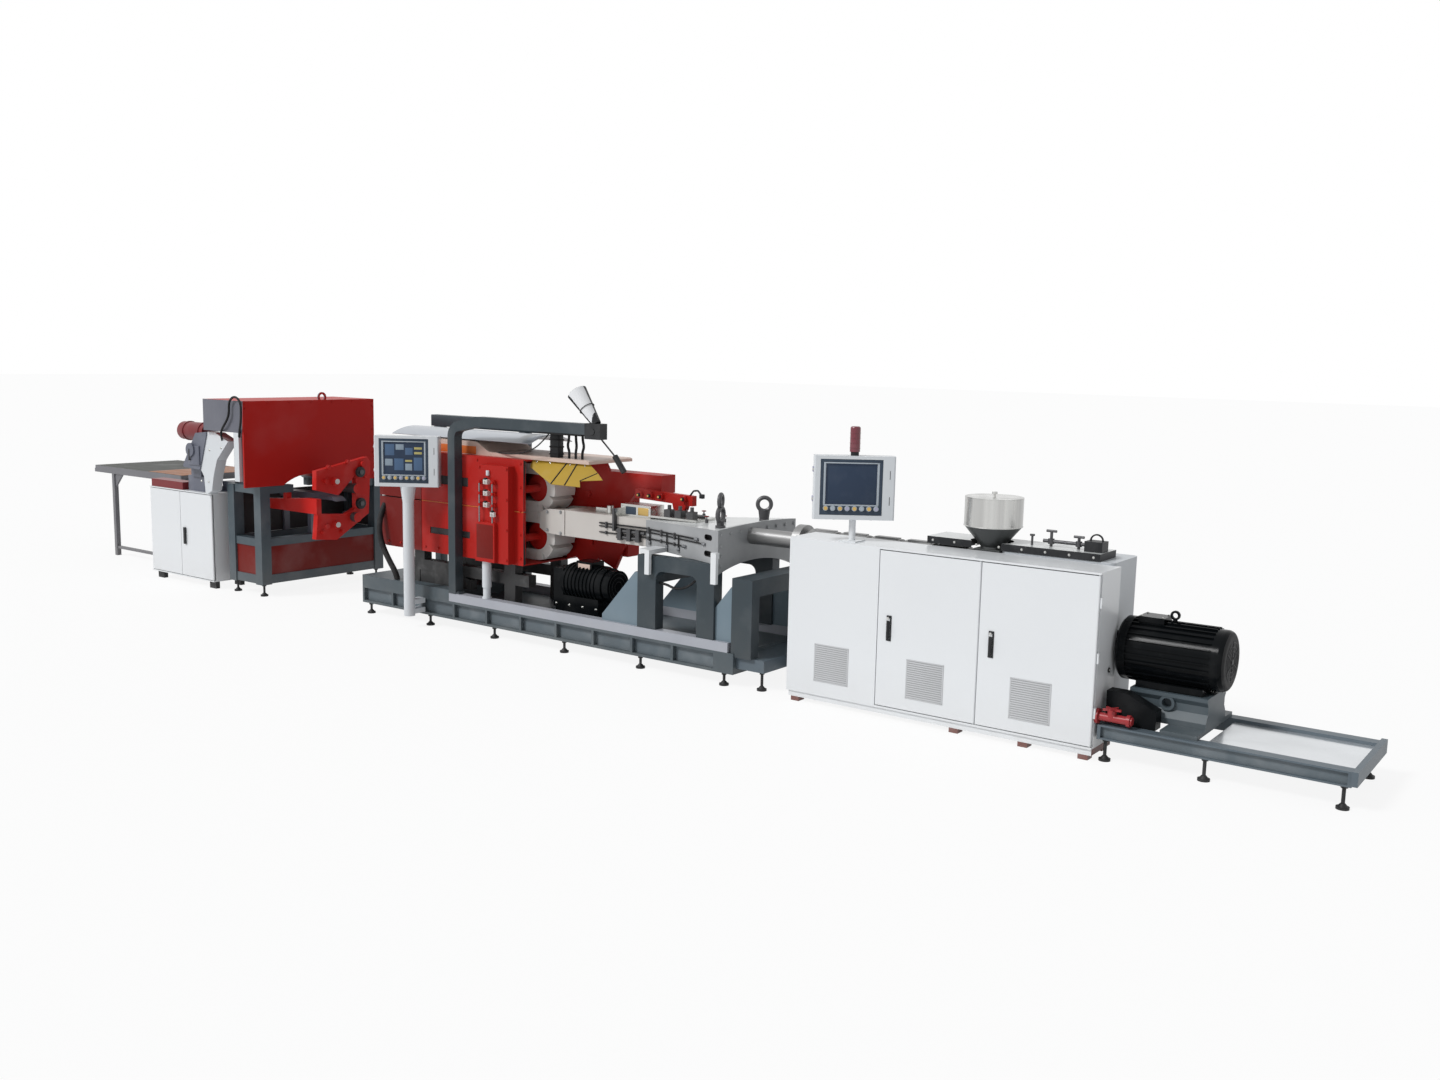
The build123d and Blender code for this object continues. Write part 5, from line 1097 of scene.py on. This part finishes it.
def lifting_eye(y, rise, base, shoulder, radius, thickness, turn):
    """A forged ring that widens out of a flattened shank on a collar, its axis turned about the vertical."""
    hub = eye_foot + rise + radius
    flattened = (Matrix.Translation((eye_x * MM, y * MM, 0)) @ Matrix.Rotation(math.radians(turn), 4, "Z")
                 @ Matrix.Diagonal((0.62, 1, 1, 1)))
    stem = drum(dark_steel, (0, 0, eye_foot + 10), (0, 0, hub - radius + 6), base, 1, 32, shoulder)
    shank = placed([stem], matrix=flattened)
    removed([stem])
    axis = (math.cos(math.radians(turn)), math.sin(math.radians(turn)), 0)
    collar = drum(dark_steel, (eye_x, y, eye_foot), (eye_x, y, eye_foot + 16), 36, 3, 32)
    return [collar] + shank + [ring(dark_steel, (eye_x, y, hub), axis, radius, thickness, 48)]


eyes = lifting_eye(far_eye_y, 74, 34, 44, 48, 15, -54) + lifting_eye(near_eye_y, 40, 36, 42, 50, 17, 14)
upper_turn = math.radians(22)
upper_axis = (math.cos(upper_turn), math.sin(upper_turn), 0)
eyes.append(ring(dark_steel, (eye_x, near_eye_y, 1262), upper_axis, 45, 15, 40))
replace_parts(piece("lifting_eyes_as_shown", eyes, "line"), "lifting_eyes")
print("lifting eyes of", len(eyes), "parts")

# %% [markdown]
# ## Strips and seams of the corrugator
# Orange sealing strips mark the seam between the housings and the edge below the cover, and
# black seams cross the slope of the yellow guard. They could be painted on, but a thin bar
# catches the light as an edge does. A point on the slope is worked out from how far up it
# lies.

# %% Strips and seams
strips = []
for side in (-1, 1):
    near, far = sorted((side * 331.5, side * 324))
    strips.append(block(orange_edge, (-960, near, 1017), (208, far, 1023), 1))
    near, far = sorted((side * 252.5, side * 249))
    strips.append(block(orange_edge, (-1290, near, 1430), (-398, far, 1492), 1))
piece("orange_strips", strips, "line")


def up_guard(x, along):
    """A point on the guard, that far up its slope from the lower edge."""
    slope = math.hypot(106, 163)
    return x, -330 + 106 * along / slope, 1262 + 163 * along / slope


guard_out = Vector((0, -163, 106)).normalized()
seams = [drum(rubber_black, up_guard(498, 2), up_guard(569, 190), 6, 0, 10),
         drum(rubber_black, up_guard(640, 2), up_guard(674, 190), 6, 0, 10),
         drum(rubber_black, up_guard(770, 50), up_guard(909, 128), 4, 0, 10)]
seams += [bolt_at(up_guard(x, 178), guard_out, 6) for x in (260, 400, 610, 760)]
piece("guard_seams", seams)

# %% [markdown]
# ## Housing bolts
# Both housings are bolted along their edges on the front and the back, and round the pipe's
# outlet. The heads are painted over in the machine's red. The same rows serve both sides,
# with the sign of Y turned. A Mirror modifier could make the second side, but the bolts at
# the outlet must not be mirrored.

# %% Housing bolts
housing_bolts = []
for side in (-1, 1):
    wall_y, out = side * 330, (0, side, 0)
    housing_bolts += bolt_row((-1440, wall_y, 1396), (-300, wall_y, 1396), 8, out, 9, machine_red)
    housing_bolts += bolt_row((-1380, wall_y, 640), (-300, wall_y, 640), 8, out, 9, machine_red)
    housing_bolts += bolt_row((180, wall_y, 1396), (180, wall_y, 660), 5, out, 9, machine_red)
housing_bolts += bolt_ring((-1490, 0, 1000), (-1, 0, 0), 96, 8, 9, machine_red)
piece("housing_bolts", housing_bolts, "line")

# %% [markdown]
# ## Pneumatic valves
# The valve box carries pneumatic valves: a coil, a plug and a nut each, modelled once at
# the origin and copied down the column. Two steel pipes run beside them, and the box's
# cover is bolted at its edges. One valve as a sculpted mesh would be smoother, but at this
# size its boxes read well.

# %% Pneumatic valves
valve_front = -400
valve = [block(valve_white, (-22, -64, -16), (22, -38, 22), 4, 3),
         block(black_paint, (-13, -68, 20), (13, -44, 34), 3),
         drum(bright_steel, (0, -64, 3), (0, -74, 3), 9, 1.5, 6)]
valves = []
for valve_x, valve_z in ((-98, 1060), (-98, 1150), (-98, 1240), (-22, 990)):
    valves += placed(valve, (valve_x, valve_front + 22, valve_z))
removed(valve)
for pipe_x in (-170, -26):
    pipe_low = (pipe_x, valve_front - 33, 925)
    valves.append(drum(tap_steel, pipe_low, (pipe_x, valve_front - 33, 1240), 6, 1, 14))
valves.append(drum(panel_white, (-98, valve_front - 10, 1290), (-98, valve_front - 10, 1330), 14, 3, 18))
for edge_x in (-200, 98):
    low, high = (edge_x, valve_front, 640), (edge_x, valve_front, 1350)
    valves += bolt_row(low, high, 4, (0, -1, 0), 9, machine_red)
valves.append(block(dark_red, (-205, -431.5, 640), (-22, -429, 905), 3))
piece("pneumatic_valves", valves, "line")

# %% [markdown]
# ## Gantry
# The gantry carries the lamp and the hoses. Its front tube is bent from the post into the
# rail, and its rear rail is shorter than in the CAD model, as the photograph shows, so this
# piece stands for the CAD node. The front tube could be mitred from straight boxes, but the
# real one is bent, so a square section follows a bent route.

# %% The gantry that stands for the CAD one
rail_end = 204
tube_y, rail_y = -374, 374
tube_route = [(-510, tube_y, 306), (-510, tube_y, 1640), (-230, tube_y, 1700), (915, tube_y, 1700)]
gantry = [bent_bar(stand_blue, tube_route, 40, 90, square=True),
          block(stand_blue, (-1600, rail_y - 40, 1580), (rail_end, rail_y + 40, 1680), 6),
          block(stand_blue, (-550, -408, 306), (-436, -334, 320), 3)]
post = block(stand_blue, (-1560, rail_y - 40, 329), (-1480, rail_y + 40, 1582), 6)
gantry += [post, copied(post, (1050, 0, 0))]
cross = block(stand_blue, (-40, -336, 1662), (40, 336, 1680), 4)
gantry += [cross, copied(cross, (rail_end - 40, 0, 0))]
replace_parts(piece("gantry_as_shown", gantry, "line"), "gantry")

# %% [markdown]
# ## Fittings of the chain drive and the gantry
# The chain drive's motor has a pale plate without writing, rings on its fan cover and
# bolted feet. The gantry's foot and cross bars are bolted too, and these heads are painted
# over. The rings could be cut into the cover, but that CAD node stays as it is, so thin
# tori stand on its face.

# %% Chain drive and gantry
drive = [block(cover_cream, (620, -151.5, 610), (740, -149, 650), 2)]
drive += [ring(black_paint, (967, -80, 495), (1, 0, 0), radius, 2.5) for radius in (40, 72, 104)]
drive += bolt_row((430, -190, 320), (840, -190, 320), 4, (0, -1, 0), 9)
piece("chain_drive_fittings", drive)
gantry_bolts = []
for bolt_x in (-538, -452):
    gantry_bolts += bolt_row((bolt_x, -400, 320), (bolt_x, -348, 320), 2, (0, 0, 1), 9, stand_blue)
for cross_x in (0, rail_end - 40):
    gantry_bolts += bolt_row((cross_x, -300, 1680), (cross_x, 320, 1680), 2, (0, 0, 1), 9, stand_blue)
piece("gantry_bolts", gantry_bolts, "line")

# %% [markdown]
# ## Lamp
# The work lamp's shade has a rolled rim and a bright pane, and a second bead at its neck.
# They are a disc and rings about the lamp's own axis, so the axis is written once as a
# vector. They could be made upright and turned afterwards, but a drum can start and end
# anywhere. The box that carries the lamp has a flat round cap.

# %% The lamp's rim and pane
lamp_axis = Vector((-210, 0, 240)).normalized()
rim_centre = Vector((805, -374, 1963))
lamp = [ring(black_paint, rim_centre, lamp_axis, 72, 2.5, 40),
        drum(lamp_white, rim_centre - lamp_axis * 2, rim_centre + lamp_axis * 1.5, 70, 0, 40),
        ring(black_paint, rim_centre - lamp_axis * 150, lamp_axis, 58, 3, 32)]
lamp.append(drum(black_paint, (990, -416, 1686), (990, -419, 1686), 24, 1, 24))
piece("lamp_rim", lamp)

# %% [markdown]
# ## Duct and plate of the hoses
# The duct and its plate hang below the gantry and carry three air hoses. Both are rigid, so
# they are boxes with rounded edges, and bands of rubber go round the duct. One extruded
# outline could give both, but two boxes keep their own edges. With the hoses they stand for
# the plain CAD ones.

# %% Duct and plate
plate_and_duct = [block(black_paint, (370, -336, 1640), (730, -120, 1658), 3),
                  block(black_paint, (393, -230, 1455), (480, -170, 1640), 4)]
for band_z in (1475, 1530, 1585):
    plate_and_duct.append(block(rubber_black, (389, -234, band_z), (484, -166, band_z + 12), 2))
duct = piece("duct_and_plate", plate_and_duct, "line")

# %% [markdown]
# ## Hanging a cable or a hose
# Cables and hoses are flexible, so each is a smooth curve with a round section near points
# that were chosen from the photograph. A simulation could let them hang, but it
# wouldn't pass where the real ones do. The curve without its section gives the length that
# is printed.

# %% The curve and its length
def hose_curve(name, route, radius, finish):
    """A smooth curve with a round section near the route's points."""
    curve = bpy.data.curves.new(name, "CURVE")
    curve.dimensions = "3D"
    curve.bevel_depth = radius * MM
    curve.bevel_resolution = 3
    curve.use_fill_caps = True
    spline = curve.splines.new("NURBS")
    spline.points.add(len(route) - 1)
    for point, place in zip(spline.points, route):
        point.co = (*(Vector(place) * MM), 1)
    spline.use_endpoint_u = True
    spline.order_u = 3
    curve.materials.append(finish)
    made = bpy.data.objects.new(name, curve)
    bpy.context.scene.collection.objects.link(made)
    return made


def curve_length(made):
    """The length of a curve object in metres, measured on a copy without its section."""
    bare = made.copy()
    bare.data = made.data.copy()
    bare.data.bevel_depth = 0
    bpy.context.scene.collection.objects.link(bare)
    path = bpy.data.meshes.new_from_object(bare.evaluated_get(bpy.context.evaluated_depsgraph_get()))
    points = [vertex.co for vertex in path.vertices]
    bpy.data.objects.remove(bare)
    return sum((b - a).length for a, b in zip(points, points[1:]))


# %% Hanging it and printing its length
def hung(name, route, radius, finish):
    """A cable or hose near the route's points that leaves the machine at one of them."""
    clear_selection()
    made = hose_curve(name, route, radius, finish)
    length = curve_length(made)
    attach(made, "line")
    print(name, "is", round(length, 3), "m long")
    return made


# %% [markdown]
# ## Air hoses and service hose
# Three air hoses hang from the plate, each a little differently, and a thick service hose
# comes down at the corrugator's left end. Straight bars would look stiff, so each air hose
# sways by a few millimetres. Together with the duct they stand for the CAD hoses.

# %% Air hoses and service hose
hose_pieces = [duct]
for number, (hose_x, sway) in enumerate(((565, -14), (635, 12), (703, 20))):
    route = [(hose_x, -200, 1640), (hose_x, -200, 1600), (hose_x + sway, -203, 1550),
             (hose_x - sway * 0.4, -198, 1500), (hose_x, -200, 1455)]
    hose_pieces.append(hung("air_hose_" + str(number + 1), route, 10, rubber_black))
service_route = [(-1440, -318, 950), (-1440, -372, 850), (-1425, -398, 710), (-1370, -398, 580),
                 (-1295, -388, 465), (-1245, -376, 390), (-1230, -370, 329)]
hose_pieces.append(hung("service_hose", service_route, 24, rubber_black))
for made in hose_pieces:
    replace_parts(made, "hoses")

# %% [markdown]
# ## Thin cables
# One thin cable hangs from the gantry's plate to the corrugator, another along the die's
# stand. They could be straight, but a cable sags between its ends, so the middle points lie
# lower.

# %% Thin cables
gantry_route = [(480, -334, 1640), (440, -334, 1600), (330, -330, 1520), (180, -310, 1475), (20, -280, 1458),
                (-100, -255, 1457), (-172, -240, 1455)]
hung("gantry_cable", gantry_route, 5, rubber_black)
stand_route = [(1592, -352, 640), (1640, -352, 640), (1740, -352, 610), (1850, -352, 640), (1940, -352, 720),
               (1960, -352, 720)]
hung("stand_cable", stand_route, 9, rubber_black)

# %% [markdown]
# ## Hose of the saw
# A black hose leaves the saw, loops up in front of the hood and comes back down. A hose
# that is bent too tightly would kink, so the loop is kept wide and the hose thinner than it
# looks in the photograph.

# %% Hose of the saw
saw_route = [(-3228, -679, 1395), (-3190, -722, 1450), (-3110, -757, 1515), (-3040, -757, 1580),
             (-2995, -757, 1650), (-2995, -757, 1747), (-2942, -757, 1800), (-2868, -757, 1800),
             (-2815, -757, 1747), (-2815, -757, 1660), (-2825, -757, 1570), (-2870, -745, 1490),
             (-2935, -705, 1420)]
hung("saw_hose", saw_route, 10, rubber_black)

# %% [markdown]
# ## The cutter's sheets and hood
# The cutter's frame is dark inside, so dark sheets of painted shade close its back and its
# left, and its hood is screwed on at its right end. The sheets could be single faces, but a
# sheet with two sides and a small bevel casts a true shadow.

# %% Dark sheets and the hood's screws
# Painted shade: dark sheets inside the cutter's frame, at its back and its left.
sheets = [block(gap_and_shade_dark, (-3292, -482, 525), (-3288, 680, 915), 1),
          block(gap_and_shade_dark, (-3230, 734, 525), (-2926, 738, 930), 1)]
piece("cutter_painted_shade_sheets", sheets)
hood_end = -2826
hood_front, hood_back = -712, 672
hood = bolt_row((hood_end, hood_front, 1745), (hood_end, hood_back, 1745), 7, (1, 0, 0), 7, hood_red)
for edge_y in (hood_front, hood_back):
    hood += bolt_row((hood_end, edge_y, 1030), (hood_end, edge_y, 1700), 4, (1, 0, 0), 7, hood_red)
piece("hood_screws", hood, "line")

# %% [markdown]
# ## Pipe clamp
# The pipe clamp carries big bolt heads, two pale caps and two black rollers with steel
# hubs, and all of them look along the line. The bolts are larger copies of the one bolt;
# drums of their own would need the same bevels again.

# %% Clamp bolts, caps and rollers
clamp_face = -2420
roller_y = 190
pads = [bolt_at((clamp_face, pad_y, pad_z), (1, 0, 0), 20, bright_red)
        for pad_y, pad_z in ((-150, 1180), (60, 1215), (250, 1080), (-20, 590), (-230, 600))]
for cap_z in (1052, 659):
    pads.append(drum(valve_white, (clamp_face + 44, -90, cap_z), (clamp_face + 52, -90, cap_z), 24, 3, 24))
for roller_z, roller_radius in ((1120, 48), (830, 52)):
    face, middle, end = [(clamp_face + out, roller_y, roller_z) for out in (0, 28, 40)]
    pads.append(drum(black_paint, face, middle, roller_radius, 4, 28))
    pads.append(drum(dark_steel, middle, end, 22, 2, 20))
piece("clamp_bolts_and_pads", pads)

# %% [markdown]
# ## The saw's cover and motor
# The saw's guard carries a raised cover with a bar handle. The cover is a box whose edges
# are widely bevelled in edit mode; an inset and an extrusion of the guard would give it
# too, but the guard is a CAD node. The saw's motor has two rings on its end.

# %% The saw's cover and motor grille
guard_front = -712
cover = [block(saw_grey, (-3740, guard_front, 1150), (-3560, -698, 1330), 12, 4)]
for stud_z in (1200, 1290):
    cover.append(drum(dark_steel, (-3700, guard_front, stud_z), (-3700, guard_front - 14, stud_z), 7, 1, 14))
cover.append(drum(dark_steel, (-3700, guard_front - 12, 1192), (-3700, guard_front - 12, 1298), 7, 3, 14))
cover += bolt_row((-3560, -690, 1010), (-3450, -690, 1010), 2, (0, -1, 0), 8)
cover += bolt_row((-3420, -690, 1300), (-3240, -690, 1330), 2, (0, -1, 0), 8)
piece("saw_cover", cover)
grille_rings = [ring(black_paint, (-4150, -490, 1440), (1, 0, 0), radius, 2.5, 24) for radius in (26, 50)]
piece("saw_motor_grille", grille_rings)

# %% [markdown]
# ## Boards of the table
# Wooden boards lie on the right end of the run-out table, with narrow gaps between them.
# Each is a box with softened edges, placed from the table's own box. A wood picture on one
# plane would show no gaps in its edge.

# %% Boards of the table
table_low, table_high = [[value * 1000 for value in corner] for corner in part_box("table_board")]
board_step, board_width, board_inset = 155, 152, 16
boards = []
for index in range(4):
    board_x = table_high[0] - 620 + board_step * index
    board_low = (board_x, table_low[1] + board_inset, table_high[2] - 4)
    board_high = (board_x + board_width, table_high[1] - board_inset, table_high[2] + 1.5)
    boards.append(block(table_wood, board_low, board_high, 1.5))
piece("wooden_table_boards", boards, "line")

# %% [markdown]
# ## Closing the lesson
# The bolt that was copied everywhere is taken away. The box of the dressed model has to
# stay close to the CAD model's box.

# %% Remove the pattern bolt
removed([bolt_head])
